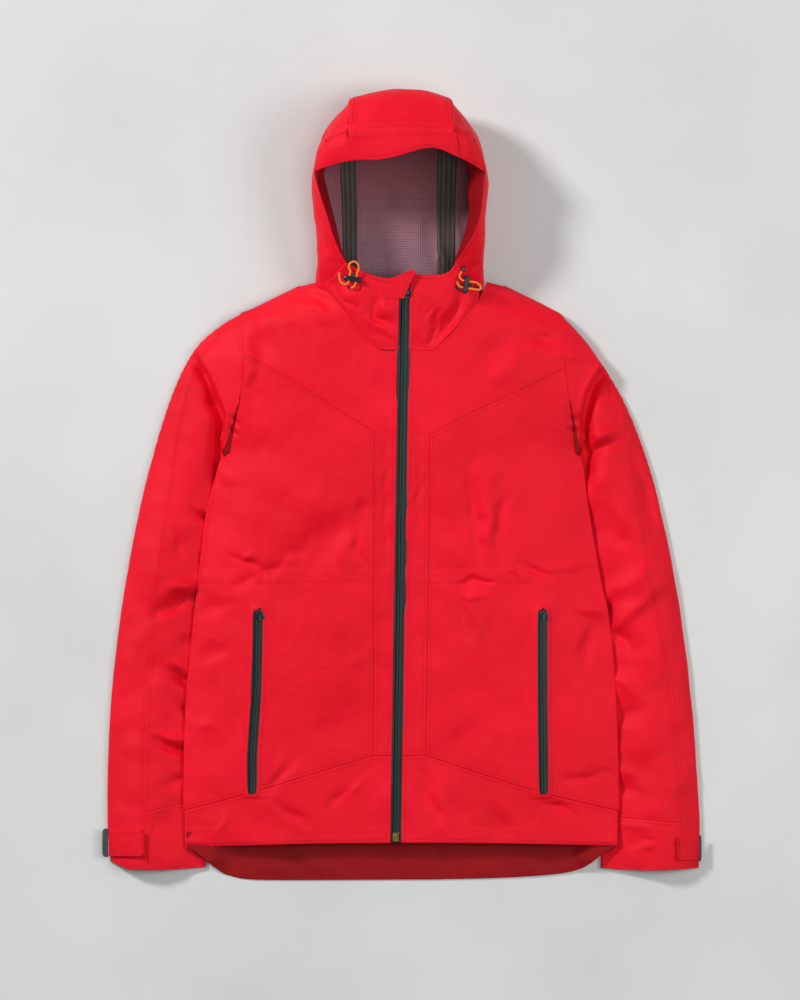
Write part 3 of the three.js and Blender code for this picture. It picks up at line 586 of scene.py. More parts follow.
def frontHeight(x, y):
    """The lie of the front, and on it broad unevenness, creases, the waist channel and the pocket bonding.
    It lies calmer beside the pockets and beside the zip at the hem."""
    fromZip = x - zipMiddle(y)
    beside = sum(hill(besidePocket(side, x, y), 17) for side in (-1, 1))
    calm = (1 - 0.8 * hill(fromZip, 18) * smooth(-370, -425, y)) * (1 - 0.85 * beside)
    uneven = 1.5 * ripple(x, y, 170, 1) + 0.7 * ripple(x, y, 62, 2) + 0.17 * ripple(x, y, 21, 3)
    z = frontLie(x, y) + calm * uneven + 1.85 * calm * folds(x, y, frontFolds)
    z = z - 1.8 * hill(np.abs(fromZip) - 15, 6.5) * smooth(-395, -430, y)
    upper, lower = (level + 1.4 * ripple(x, 0 * x, 130, 4) for level in lie["waist"])
    channel = 0.25 * smooth(lower, lower + 2, y) * smooth(upper, upper - 2, y)
    channel = channel - 0.45 * hill(y - upper, 1.6) - 0.35 * hill(y - lower, 1.6)
    gathered = 0.16 + 0.3 * smooth(0.1, 0.9, ripple(x, 0 * y, 70, 8))
    gathers = gathered * ripple(x, 0.3 * y, 12, 7) * hill(y + 114, 17)
    z = z + smooth(11, 16, np.abs(fromZip)) * (channel + gathers)
    for side in (-1, 1):
        z = z + 2.0 * hill(besidePocket(side, x, y), 16)
        west, east, south, north = pocketZip["outline"][side]
        dx = np.abs(x - (west + east) / 2) - (east - west) / 2 + 10
        dy = np.abs(y - (south + north) / 2) - (north - south) / 2 + 10
        box = np.hypot(np.maximum(dx, 0), np.maximum(dy, 0)) + np.minimum(np.maximum(dx, dy), 0) - 10
        z = z + 0.45 * smooth(1.5, -1.5, box) - 0.35 * hill(box - 1, 1.6)
    return z + 0.9 * hill(np.abs(fromZip) - 8, 7) * smooth(262, 255, y)


# ---- sleeves in plan: from the armhole to the cuff, and from the inner edge to the outer edge ----
sleeve = {
    "inner": {1: [(228, 44), (222, 8), (224, -40), (228, -95), (236, -165), (241, -235), (246, -300),
                  (250, -365),
                  (252, -412), (252, -486)],
              -1: [(-229, 44), (-223, 8), (-226, -40), (-230, -95), (-236, -165), (-241, -235),
                   (-246, -300),
                   (-250, -365), (-251, -412), (-249, -485)]},
    "outer": {1: [(207, 213), (229, 190), (256, 153), (288, 96), (319, 10), (345, -105), (362, -215),
                  (373, -325),
                  (379, -430), (378, -486)],
              -1: [(-207.5, 217), (-232, 203), (-266, 170), (-297, 104), (-327, 0), (-349, -108),
                   (-364.5, -215),
                   (-373.5, -325), (-374.5, -430), (-371, -486)]},
    "hollow": {1: 7.5, -1: 15.5},
    "seam": {1: [(0, 0.96), (0.12, 0.955), (0.25, 0.94), (0.36, 0.88), (0.44, 0.77), (0.53, 0.745),
                 (0.62, 0.77), (0.75, 0.8), (1, 0.83)],
             -1: [(0, 0.96), (0.12, 0.955), (0.22, 0.92), (0.3, 0.85), (0.4, 0.74), (0.51, 0.69),
                  (0.61, 0.65), (0.75, 0.635), (1, 0.6)]},
    "overlap": {1: [(4, 231), (56, 227), (89, 227), (119, 233), (145, 248), (165, 262)],
                -1: [(44, 229), (90, 224), (134, 241), (172, 262)]},
    "edge": 4.8, "full": (28, 22), "cuffTop": 22.6, "cuffAt": 8 / 9, "cuffSlant": {1: 0.012, -1: -0.028},
    "cuffRise": {1: 0, -1: 9},
    "folds": [
        (-302, -136, -254, -116, 7, 4.5), (-314, -163, -256, -134, 7, -6), (-310, -318, -274, -323, 6, 3.5),
        (-308, -327, -270, -339, 6, -7), (-296, -228, -268, -237, 6, 3), (-292, -239, -266, -251, 6, -6),
        (-264, -27, -244, -32, 5, 3), (-264, -37, -242, -46, 6, -5), (-288, -56, -283, -88, 6, -2),
        (-252, 114, -230, 98, 8, -5), (-256, 172, -246, 148, 5, -3), (-268, 158, -296, 50, 10, 1.8),
        (-280, -190, -262, -200, 6, -2.5), (-300, -380, -268, -372, 7, -2),
        (-318, -60, -300, -150, 14, 1.6),
        (-280, -280, -262, -296, 7, -3), (-330, -180, -322, -260, 14, -1.4),
        (233, 38, 268, 56, 8, -6), (238, 58, 266, 68, 7, 3), (264, -148, 248, -168, 9, -7),
        (262, -138, 322, -110, 12, 3.6), (264, -176, 292, -208, 8, -4.5), (262, -186, 332, -122, 10, 3),
        (311, -449, 341, -451, 3, -1.9), (298, -462, 330, -453, 4, 1.6), (276, -430, 330, -437, 5, 1.4),
        (262, 148, 292, 62, 5, 2.8), (300, 30, 322, -60, 9, -2), (262, -240, 300, -262, 9, 2.4),
        (264, -300, 300, -290, 8, -2.6), (262, -20, 300, -50, 10, 2), (262, -60, 296, -78, 9, -2.6),
        (330, -230, 336, -310, 12, -1.4), (264, -356, 302, -372, 8, 2), (262, -378, 300, -392, 7, -2.4)]}


def sleevePlan(side, t, s):
    """x and y: straight from the inner to the outer edge, hollowed towards the body at the armhole."""
    count = len(sleeve["inner"][side])
    shape = np.broadcast(t, s).shape
    t, s = (np.broadcast_to(v, shape).ravel() for v in (np.asarray(t, float), np.asarray(s, float)))
    table = pull(t * (count - 1), count)
    inner, outer = (table @ np.array(sleeve[edge][side], float) for edge in ("inner", "outer"))
    point = inner + (outer - inner) * s[:, None]
    point[:, 0] -= side * sleeve["hollow"][side] * np.sin(np.pi * s) * (1 - smooth(0, 0.3, t))
    point[:, 1] += (-3 * np.sin(np.pi * s) + sleeve["cuffRise"][side]
                    * smooth(0.78, 1.05, s)) * smooth(0.93, 1, t)
    wide = np.linalg.norm(outer - inner, axis=1)
    return point[:, 0].reshape(shape), point[:, 1].reshape(shape), wide.reshape(shape)


def sleeveHeights(side, t, s):
    """Under and upper surface: the front's own height beside the armhole, a rounded arm beyond the fold."""
    x, y, _ = sleevePlan(side, t, s)
    full = sleeve["full"][0] + (sleeve["full"][1] - sleeve["full"][0]) * t
    low = backLie(x, y) * (1 - smooth(0, 0.22, t))
    arm = sleeve["edge"] + (full - sleeve["edge"]) * np.sin(np.pi * s**1.5)
    creases = 1.75 * folds(x, y, sleeve["folds"]) + 1.4 * ripple(x, y, 80, 11) + 0.6 * ripple(x, y, 34, 12)
    arm = arm + creases * smooth(0.03, 0.22, s) * smooth(1, 0.9, s) * smooth(0.93, 0.86, t * (s > 0.55))
    fold = np.array(sleeve["overlap"][side], float)
    out = np.abs(x) - np.interp(y, fold[:, 0], fold[:, 1])
    ridge = 2.4 * hill(out + 2.5, 5) * smooth(176, 150, y) * smooth(30, 60, y) * smooth(0, 0.03, t)
    cap = np.maximum(frontHeight(x, y), low + sleeve["edge"]) + ridge
    below = smooth(186, 160, y)
    share = (1 - below) * smooth(0, 0.3, t) + below * smooth(-1, 4, out) * smooth(0, 0.02, t)
    share = np.maximum(share, smooth(46, 24, y) * smooth(0, 0.07, t))
    dip = 15 * hill(out - 5, 10) * smooth(172, 140, y) * smooth(-10, 30, y) * smooth(0, 0.04, t)
    top = cap * (1 - share) + np.maximum(arm - dip, low + 4) * share
    covered = smooth(-2, -8, np.abs(x) - np.interp(y, edgeAt, edgeReach)) * smooth(20, -20, y)
    top = top - covered * np.maximum(top - 10.5, 0)   # where the body lies over the sleeve
    return low, np.maximum(top, low + 2.6)


print("lie of the cloth worked out")


# ---- front panels ----
def panel(near, far, step, height=None, seams=("start", "end", "near", "far"), first=None, last=None):
    """Rungs between two Catmull-Rom lines; a doubled point is a corner. Where the first or the last rung
    is a line of its own, what it bends away from straight is shared out down the panel (a Coons patch).
    The height is a function of x and y, or runs straight between the lines, and named borders roll down."""
    near, far = np.array(near, float), np.array(far, float)
    spans = np.maximum(np.linalg.norm(np.diff(near, axis=0), axis=1),
                       np.linalg.norm(np.diff(far, axis=0), axis=1))
    run = np.insert(np.cumsum(spans), 0, 0)
    at = spacing(0, run[-1], step)
    k = np.clip(np.searchsorted(run, at, side="right") - 1, 0, len(spans) - 1)
    places = np.where(at >= run[-1] - 1e-6, len(spans), k + (at - run[k]) / np.maximum(spans[k], 1e-6))
    a, b = through(near, places), through(far, places)
    wide = np.linalg.norm(b[:, :2] - a[:, :2], axis=1).max()
    v = spacing(0, wide, step) / wide
    grid = a[:, None] + (b - a)[:, None] * v[None, :, None]
    for border, row, share in ((first, 0, 1 - at / run[-1]), (last, -1, at / run[-1])):
        if border is not None:
            bent = through(border, v * (len(border) - 1))
            straight = bent[:1] + (bent[-1:] - bent[:1]) * v[:, None]
            grid = grid + (bent - straight)[None] * share[:, None, None]
    if grid.shape[2] == 2:
        grid = np.concatenate([grid, np.zeros(grid.shape[:2] + (1,))], axis=2)
    if height is not None:
        grid[..., 2] = height(grid[..., 0], grid[..., 1])
    away = fromSeams(grid, seams)
    grid[..., 2] -= rolled(away)
    return grid, away


def tuckedUnder(grid, away, amount, radius=2.1, inward=12):
    """Carries the far border round a small half circle and back inward beneath, by amount along the rows."""
    edge = grid[:, -1]
    out = np.sign(edge[:, 0])
    turn = np.radians(np.array([25, 50, 75, 100, 125, 150, 180]))
    amount = amount[:, None]
    x = edge[:, :1] + out[:, None] * amount * radius * np.sin(turn)[None]
    z = edge[:, 2:] - radius * (1 - np.cos(turn))[None]
    x = np.concatenate([x, edge[:, :1] - out[:, None] * amount * inward], axis=1)
    z = np.concatenate([z, z[:, -1:] - 0.1], axis=1)
    extra = np.stack([x, np.broadcast_to(edge[:, 1:2], x.shape), z], axis=2)
    return np.concatenate([grid, extra], axis=1), np.concatenate([away, np.full(x.shape, 99.0)], axis=1)


def lapUnder(grid, away, border, shift):
    """One more row or column beyond a border, moved by shift, so that nothing shows through the seam."""
    axis, end = {"start": (0, 0), "end": (0, -1), "near": (1, 0), "far": (1, -1)}[border]
    edge = np.take(grid, [end], axis=axis) + np.array(shift, float)
    edge[..., 2] = np.maximum(edge[..., 2], 1.1)
    parts, spare = [grid, edge], np.take(away, [end], axis=axis) + 99
    order = slice(None, None, -1) if end == 0 else slice(None)
    return np.concatenate(parts[order], axis=axis), np.concatenate([away, spare][order], axis=axis)


def armholeLine(side, high, low, count):
    s = np.linspace(high, low, count)
    x, y, _ = sleevePlan(side, np.zeros(count), s)
    return list(zip(x - side * 0.3, y))


def zipEdge(side, y):
    return zipMiddle(y) + side * (lie["tapeEdge"] + 0.6)


clothThick = 0.9
seamGap = 0.12
sideEdge = {1: [(231, 4), (240, -56), (253, -129), (263, -177), (270, -260), (273, -340), (274.5, -413)],
            -1: [(-232, 22), (-245, -22), (-256, -105), (-267, -205), (-272, -260), (-275, -314),
                 (-276.5, -413)]}
yokeSeam = {1: [(35, 64), (84, 90), (140, 116.5), (206.5, 149)],
            -1: [(-35, 68), (-84, 98), (-140, 133), (-197.5, 168)]}
princess = {1: [(35, 64), (34, -60), (33, -140), (32, -240), (30, -342)],
            -1: [(-35, 68), (-35, -60), (-35.5, -140), (-36, -240), (-37, -343)]}
hemSeam = {1: [(30, -342), (124, -373.5), (190, -393), (274.5, -413)],
           -1: [(-37, -343), (-116, -367), (-182, -387), (-276.5, -413)]}
neckSeam = {1: [(38, 172), (51, 182), (74, 208), (95, 233), (108, 259)],
            -1: [(-24, 172), (-36, 179), (-54, 197), (-74, 224), (-106, 259)]}
hemCorner = {1: (274, -458), -1: (-276, -460)}
armholeSplit = {1: 0.63, -1: 0.715}


def shellPiece(name, grid, seamAway, stands, body="jacket", inside=shellInsidePaintedShade, thick=clothThick,
               away=(0, 0, -900)):
    """A panel of the outer cloth, in its slot; by default its inside is the red cloth darkened with painted
    shade.
    """
    return build(name, grid, [shell, inside], stands, body, thick, away=away, seamAway=seamAway)


for side, name in ((1, "left"), (-1, "right")):
    gap = side * seamGap
    # yoke: beside the zip, then up to the neck, with the shoulder and armhole across
    down, across = through(princess[side], [4, 3, 2, 1]), through(yokeSeam[side], [0, 1, 2, 3])
    neck = np.array(neckSeam[side], float)
    split = armholeSplit[side]
    arm = armholeLine(side, split, 0.99, 5)
    across[3] = arm[0]
    besideZip = [-343, -240, -140, -60, across[0][1], across[0][1], 100, 136, 172.2, 172.2]
    near = [[zipEdge(side, y), y] for y in besideZip] + [neck[0] + (0, 0.2), *neck[1:]]
    above = [p + (0, seamGap) for p in across]
    far = [p - (gap, 0) for p in down] + [above[0] - (gap, 0)] * 2 + above[1:3] + [above[3]] * 2
    far += [arm[1], arm[2], arm[4], (side * 186, 226), (side * 130, 253.5)]
    grid, away = panel(near, far, 2.6, frontHeight)
    # the shoulder turns down to the back
    edge = grid[:, -1:]
    fall = smooth(203, 212, edge[..., 1:2]) * np.maximum(edge[..., 2:] - 4.5,
                                                         0) * np.array([0.35, 0.7, 1.0])[None, :, None]
    skirt = np.repeat(edge, 3, axis=1) + np.concatenate([0 * fall, np.minimum(0.25 * fall, 1.5), -fall],
                                                        axis=2)
    grid, away = np.concatenate([grid, skirt], axis=1), np.concatenate([away, 99 + 0 * skirt[..., 0]],
            axis=1)
    shellPiece("frontYoke_" + name, grid, away, ["front_yoke_" + name])
    # side panel: under the yoke seam, from the princess seam out to the armhole and the folded side edge
    near = [p + (gap, 0) for p in through(princess[side], np.linspace(0, 4, 17))]
    edge = through(sideEdge[side], np.linspace(0.3, 6, 8))
    far = [across[3]] + armholeLine(side, split - 0.05, 0.04, 8) + list(edge)
    grid, away = panel(near, far, 2.4, frontHeight, seams=("start", "end", "near"),
                       first=across - (0, seamGap),
                       last=through(hemSeam[side], [0, 1, 2, 3]) + (0, seamGap))
    grid[..., 2] -= rolled(fromSeams(grid, ("far",))) * smooth(20, 50, grid[..., 1])
    grid, away = tuckedUnder(grid, away, smooth(46, 18, grid[:, -1, 1]) - 0.8
                             * smooth(46, 62, grid[:, -1, 1]))
    shellPiece("frontSide_" + name, grid, away, ["front_side_" + name])
    # hem panel, its lower edge turned up inside
    top = through(hemSeam[side], [0, 1, 2, 3]) - (0, seamGap)
    end = hemCorner[side]
    near = [[zipEdge(side, -344), -343.4], top[0], top[0], top[1], top[2], top[3]]
    low = [zipEdge(side, -454), side * 34, side * 34, side * 120, side * 196, end[0]]
    far = [[x, -454 + (end[1] + 454) * (abs(x) / 276) ** 2] for x in low]
    grid, away = panel(near, far, 2.4, lambda x, y: frontHeight(x, y) + 0.5 * smooth(-430, -450, y)
                       - 2.2 * smooth(-452, -461, y) + 0.25 * hill(y + 438, 1.6))
    shellPiece("frontHem_" + name, grid, away, ["front_hem_" + name], inside=knit)
print("front panels made")

# ---- back, its tail below the front hem, and the facing inside the tail ----
outline = {-1: [(-100, 250), (-150, 235), (-200, 208), (-200, 150), (-212, 85), (-228, 44), (-240, -22),
                (-253, -105),
                (-264, -205), (-272, -314), (-274, -400), (-274, -458), (-261, -466.6), (-248, -477.3),
                (-234, -487.8), (-220, -495.4), (-187, -501), (-91, -501.4)],
           1: [(100, 250), (150, 233), (198, 206), (207, 150), (212, 85), (227, 44), (238, -22),
               (250, -105),
               (262, -205), (270, -314), (272, -400), (272, -458), (257, -466), (243, -478), (224, -488.5),
               (192, -494.5), (124, -498.8), (40, -500.8)]}
grid, away = panel(outline[-1], outline[1], 5, lambda x, y: backLie(x, y) + 0.15, seams=())
shellPiece("backPanel", grid, None, ["back_body", "back_yoke"], away=(0, -100, 900))
tail = {-1: [(-274, -440), (-273, -457), (-261, -466), (-248, -476.6), (-234, -487), (-219.5, -494.6),
             (-187, -500), (-91, -500.6)],
        1: [(272, -440), (271, -457), (257, -465.4), (243, -477.3), (224, -487.8), (192, -493.8),
            (124, -498), (40, -500)]}
grid, away = panel(tail[-1], tail[1], 2.5, lambda x,
                   y: backLie(x, y) + 2.3 + 0.9 * np.abs(ripple(x, y, 90, 21))
                   * smooth(-502, -485, y), seams=())
# the tail facing's darker red is painted shade
build("tailFacing", grid, [shellInsidePaintedShade], (), "jacket", 0.8)
print("back made")

# ---- sleeves: one cloth from the armhole to the cuff in two pieces, and the cuff ----


def wrap(side, rows, section):
    """Surface points at ways along the sleeve and places round its section, its two edges rounded off."""
    q = section % 2
    s = np.where(q <= 1, q, 2 - q)
    x, y, wide = sleevePlan(side, rows, s)
    low, top = sleeveHeights(side, rows, s)
    low = low + 0.1
    inward = np.minimum(s, 1 - s) * wide
    bulge = np.sqrt(1 - (1 - np.clip(inward / 5, 0, 1)) ** 2)
    middle = low + 2.2
    z = np.where(q <= 1, middle + (top - middle) * bulge, middle - (middle - low) * bulge)
    return np.stack([x, y, z], axis=2)


def sleeveSeam(side, t):
    table = np.array(sleeve["seam"][side], float)
    return np.interp(t, table[:, 0], table[:, 1])


def cuffSeamAt(side, s):
    """How far down the sleeve its cuff seam is, which slants from the inner edge to the outer."""
    return sleeve["cuffAt"] + sleeve["cuffSlant"][side] * (1 - s)


def rolledIn(grid, seams, column):
    """Rolls the named borders of a sleeve piece into it; halfway down, the given column lies on top."""
    away, normal = fromSeams(grid, seams), facing(grid)
    return grid - normal * rolled(away)[..., None] * np.sign(normal[len(grid) // 2, column, 2]), away


def around(start, stop, marks):
    """Places round a section between two lines of places, closer where the cloth turns its edges."""
    fine = np.array([0, 0.006, 0.014, 0.026, 0.045])
    base = np.concatenate([spacing(0, 1, 2.8, 1 / 170)] + [m + f for m in marks for f in (fine, -fine)])
    base = np.unique(base.clip(0, 1).round(5))
    return start + (stop - start) * base[None, :]


for side, name in ((1, "left"), (-1, "right")):
    body = "sleeve_" + name
    along = spacing(0, 1, 3.0, 1 / 560)[:, None]
    seamAt = sleeveSeam(side, along)
    places = around(seamAt, 1.5 + 0 * seamAt, [(1 - 0.66) / (1.5 - 0.66)])
    grid = wrap(side, along + 0 * places, places)
    grid, away = rolledIn(grid, ("near", "start", "end"), 20)
    grid, away = lapUnder(grid, away, "start", (-side * 7, 0, -3.5))
    outerPiece = shellPiece("sleeveOuter_" + name, grid, away,
                            ["sleeve_outer_" + name, "sleeve_cap_" + name], None,
                            away=(side * 300, -120, 8))
    # the inner piece stops at a slanting cuff seam
    places = around(1.5 + 0 * seamAt, 2 + seamAt, [0.5 / (0.5 + 0.7)])
    s = np.where(places % 2 <= 1, places % 2, 2 - places % 2)
    rows = along * cuffSeamAt(side, s)
    grid = wrap(side, rows, 1.5 + (places - 1.5) * (0.5 + sleeveSeam(side, rows)) / (0.5 + seamAt))
    grid, away = rolledIn(grid, ("far", "start", "end"), -20)
    grid, away = lapUnder(grid, away, "start", (-side * 7, 0, -3.5))
    grid, away = lapUnder(grid, away, "far", (side * 3, 0, -3))
    innerPiece = shellPiece("sleeveInner_" + name, grid, away, ["sleeve_inner_" + name], None,
                            away=(side * 270, -180, 8))
    cuffSeam = cuffSeamAt(side, s[-1:])
    rows = cuffSeam + spacing(0, 1, 2.2, 1 / 62)[:, None] * (1 - cuffSeam)
    share = (places[-1:] - 1.5) / (0.5 + seamAt[-1:])
    grid = wrap(side, rows, 1.5 + share * (0.5 + sleeveSeam(side, rows)))
    grid, away = rolledIn(grid, ("far", "start", "end"), -20)
    grid, away = lapUnder(grid, away, "start", (0, 3, -1.5))
    shellPiece("cuffCloth_" + name, grid, away, ["cuff_" + name], body, inside=knit,
               away=(side * 270, -455, 8))
    way = np.array([side * 0.45, -0.89, 0])
    for piece in (outerPiece, innerPiece):
        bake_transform(piece)
print("sleeves made")

# ---- cuff tabs with their moulded tips ----
tabs = {"left": (350, -476, -446), "right": (329, -471, -437), "reach": 381,
        "tip": {"left": 2.6, "right": 7.5}}


def cuffTop(side, x, y):
    t = np.clip(sleeve["cuffAt"] + (-425 - y) / 61 * (1 - sleeve["cuffAt"]), sleeve["cuffAt"], 1)
    inner, outer = (sleevePlan(side, t, e + 0 * t)[0] for e in (0, 1))
    s = np.clip((x - inner) / (outer - inner), 0, 1)
    return np.sin(np.pi * s**1.5) * (sleeve["cuffTop"] - sleeve["edge"]) + sleeve["edge"]


def tabEdges(side, low, high, points):
    """Lower and upper edge of a tab; each point is how far out it lies and how far inside the edge."""
    return [[(side * x, edge + way * inward) for x, inward in points] for edge,
            way in ((low, 1), (high, -1))]


for side, name in ((1, "left"), (-1, "right")):
    start, low, high = tabs[name]
    end = tabs["reach"] - tabs["tip"][name] - 0.3
    corner = 3.5
    near, far = tabEdges(side, low, high, [(start, corner), (start + 1, 1), (start + corner, 0), (end, 0)])
    grid, away = panel(near, far, 1.2, lambda x, y: cuffTop(side, x, y) + 5.3 + 0.4 * ripple(x, y, 30, 31))
    shellPiece("cuffTab_" + name, grid, away, ["cuff_tab_" + name], "cuff_tab_body_" + name, shell, 1.6)
    reach = tabs["reach"]
    near, far = tabEdges(side, low, high, [(end + 0.4, -1), (reach - 3, -1), (reach - 0.6, 1.5),
                                           (reach, 5)])

    def grooved(x, y):
        groove = 0.5 * hill((y - (low + high) / 2) % 6 - 3, 0.8) * smooth(end + 1, end + 3, np.abs(x))
        return cuffTop(side, x, y) + 5.8 - groove

    grid, away = panel(near, far, 0.8, grooved)
    build("cuffTip_" + name, grid, [rubber], ["cuff_tab_tip_" + name], "cuff_tab_body_" + name, 2.4)
print("cuff tabs made")

# ---- hood: lines from chin to peak, each from the rim round to the middle of the back ----
hoodLines = [
    [(71, 283, 70), (80, 299, 78), (88, 318, 84), (95, 340, 88), (103, 364, 90), (109, 384, 88),
     (111, 397, 87),
     (108, 410, 91), (104, 422, 95), (100, 431, 98), (96, 437, 102)],
    [(103, 250, 43), (106, 282, 58), (107, 308, 62), (109, 335, 64), (111, 362, 68), (112.5, 388, 70),
     (110, 408, 74),
     (103, 430, 80), (95, 446, 88), (90, 448, 101), (88, 443, 110)],
    [(109, 265, 24), (106, 285, 28), (107, 312, 29), (109, 338, 29), (112, 365, 31), (113, 392, 35),
     (108, 418, 44),
     (98, 447, 60), (87, 463, 72), (81, 461, 96), (79.5, 448, 114)],
    [(86, 251, 6), (85, 270, 5), (86, 300, 4), (87, 330, 4), (89, 365, 4), (91, 405, 6), (88, 438, 13),
     (79, 463, 31), (71, 480, 58), (69, 477, 88), (70, 452, 117.5)],
    [(50, 240, 3), (50, 262, 2), (51, 290, 2), (51, 325, 2), (51, 370, 2), (52, 415, 3), (53, 449, 6),
     (55, 476, 20),
     (58, 491.5, 52), (60, 488, 88), (63, 455, 120)],
]
backMiddle = [(0, 235, 2), (0, 262, 1), (0, 290, 1), (0, 325, 1), (0, 370, 1), (0, 415, 2), (0, 452, 5),
              (0, 485, 20), (0, 502, 54), (0, 497, 92), (0, 458, 122.5)]
mirror = np.array([-1, 1, 1])
narrower = np.array([0.955, 1, 1])   # the wearer's left of the hood lies a little narrower
rightHalf = np.array(hoodLines, float)
hoodNet = np.concatenate([rightHalf * mirror, [np.array(backMiddle, float)], rightHalf[::-1] * narrower])
hoodNet[-1, 1:6, 0] += (3, 7, 9, 5, 1)   # and its rim stands further out
hoodInside = np.array([0, 375, 62.0])


def hoodAt(a, b):
    """Catmull-Rom surface through the net: a counts lines from rim to rim, b points from chin to peak."""
    return np.einsum("ai,ijk,bj->bak", pull(a, 11), hoodNet, pull(b, 11))


def outward(grid):
    normal = facing(grid)
    flip = np.sign((normal * (grid - hoodInside)).sum(axis=2).mean())
    return normal * flip


hoodFolds = [(-88, 438, -66, 452, 6, -1.6), (68, 463, 92, 450, 6, -2), (-60, 474, 66, 470, 5, 0.9),
             (-96, 420, -60, 440, 9, 1.2), (70, 440, 96, 424, 8, 1.4), (-108, 330, -96, 262, 6, -3.5),
             (-104, 300, -90, 268, 5, 2.4), (96, 300, 88, 262, 6, -3), (104, 330, 98, 290, 7, 2),
             (30, 440, 60, 462, 10, -1)]


def clothed(grid, sides):
    """Moves the surface along its normals by creases and unevenness, and rolls its named borders inward."""
    x, y, z = np.moveaxis(grid, 2, 0)
    away = fromSeams(grid, sides)
    rise = 0.8 * ripple(x + z * 0.7, y, 60, 41) + 0.3 * ripple(x - z, y + z, 24, 42)
    rise = rise + folds(x, y, hoodFolds) * smooth(20, 50, z)
    return grid + outward(grid) * (rise * smooth(0, 9, away) - rolled(away))[..., None], away


for name, first, last in (("left", 6.0, 10.0), ("right", 0.0, 4.0)):
    gapped = (first + (0.002 if name == "left" else 0), last - (0.002 if name == "right" else 0))
    grid = hoodAt(spacing(*gapped, 2.8, 1 / 37), spacing(0, 10, 2.8, 1 / 29))
    grid, away = clothed(grid, ("near", "far", "end"))
    shellPiece("hoodSide_" + name, grid, away, ["hood_side_" + name], away=hoodInside)
grid = hoodAt(spacing(4.001, 5.999, 2.4, 1 / 52), spacing(0, 10, 2.4, 1 / 32))
grid, away = clothed(grid, ("near", "far", "end"))
shellPiece("hoodCenter", grid, away, ["hood_center"], away=hoodInside)

# peak: leaves the crown at its own slope and bends down to the wavy lip
lip = [(-111.5, 397, 87), (-101, 401, 98), (-88, 405, 106), (-74, 408.5, 111.5), (-60, 410, 115.5),
       (-4, 415, 122.5),
       (64, 418, 116.5), (73, 414, 113), (83, 410, 108), (94, 404, 99), (104.5, 397.5, 88)]
lipWave = [(-112, 397), (-100, 401.5), (-86, 405.5), (-72, 409), (-60, 410.6), (-47, 411), (-33, 411),
           (-19, 413), (-5, 416),
           (10, 420.5), (24, 424.5), (38, 426), (48, 424.5), (56, 421.5), (66, 417), (80, 411),
           (92, 404.5), (105, 397)]
crown = [hoodNet[:, k] for k in (8, 9, 10)]
waist = (crown[2] + np.array(lip, float)) / 2 + np.array([0, 0, 2.4])
waist[0], waist[-1] = hoodNet[0, 8], hoodNet[-1, 8]
peakNet = np.stack([crown[0], crown[1], crown[2], waist, np.array(lip, float)], axis=1)
a, b = spacing(0, 10, 2.2, 1 / 26, at=(4.0, 6.0)), 2 + spacing(0, 2, 2.0, 1 / 22)
grid = np.einsum("ai,ijk,bj->bak", pull(a, 11), peakNet, pull(b, 5))
wave = through(lipWave, np.linspace(0, len(lipWave) - 1, 400))
waveShift = np.interp(grid[-1, :, 0], wave[:, 0], wave[:, 1]) - grid[-1, :, 1]
grid[..., 1] += waveShift[None, :] * ((b - 2) / 2)[:, None] ** 1.5
away = fromSeams(grid, ("start", "end"))
sideways = lengthsAlong(grid, 1)
for place in (4.0, 6.0):
    column = np.argmin(np.abs(a - place))
    away = np.minimum(away, np.abs(sideways - sideways[:, column:column + 1]))
x, y, z = np.moveaxis(grid, 2, 0)
rise = 0.7 * ripple(x, y, 70, 43) + 0.25 * ripple(x, y, 25, 44) + folds(x, y, hoodFolds)
upward = facing(grid)
upward = upward * np.sign(upward[..., 2].mean())
grid = grid + upward * (rise * smooth(0, 9, away) - rolled(away))[..., None]
peakPiece = shellPiece("hoodPeak", grid, away, ["hood_peak"], None, thick=1.1, away=(0, 400, 20))
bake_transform(peakPiece)

# facing inside the rim, then the knit side of the hood and its seam tapes
for side, name in ((1, "left"), (-1, "right")):
    rim = through(hoodNet[0 if side < 0 else 10], spacing(0, 9.6, 2.5, 1 / 27))
    inside = np.array([0, 372, 0]) - rim
    inside[:, 2] = 0
    inside /= np.linalg.norm(inside, axis=1, keepdims=True)
    v = np.concatenate([[-0.04, 0, 0.04], np.linspace(0.1, 1, 9)])
    chinward = smooth(0, 150, np.arange(len(rim)) * 2.6)[:, None]
    deep = {1: 21, -1: 12}[side] * (0.15 + 0.85 * chinward)
    grid = rim[:, None] + inside[:, None] * (1.0 + deep * np.maximum(v, 0) ** 1.3)[..., None]
    grid[..., 2] += (-26 * np.maximum(v, 0) ** 1.4 - 0.6 - 1.2 * (v < 0)) * (0.3 + 0.7 * chinward)
    grid[..., 0] += side * 1.4 * ripple(grid[..., 1], grid[..., 2], 55, 45) * v[None, :]
    # the rim facing's darker red is painted shade
    build("rimFacing_" + name, grid, [shellInsidePaintedShade], (), "jacket", 0.8, away=(side * 400, 372, 60))

liningFolds = [(22, 345, 24, 300, 7, 5), (36, 330, 48, 268, 6, -5), (44, 320, 58, 272, 6, 5),
               (-20, 400, -30, 290, 18, -2),
               (0, 390, 10, 300, 14, 2.5), (64, 400, 74, 300, 5, 4)]


def liningAt(a, b, lift):
    """The hood's own surface brought inward by lift, with soft folds along the back of the head."""
    grid = hoodAt(a, b)
    x, y, z = np.moveaxis(grid, 2, 0)
    rise = folds(x, y, liningFolds) + 1.3 * ripple(x, y + z, 75, 46) + 0.4 * ripple(x, y, 26, 47)
    rise = np.maximum(rise, -1.2)
    return grid - outward(grid) * (lift + 1.6 + 2.2 * smooth(7.4, 9, b)[:, None] + rise)[..., None]


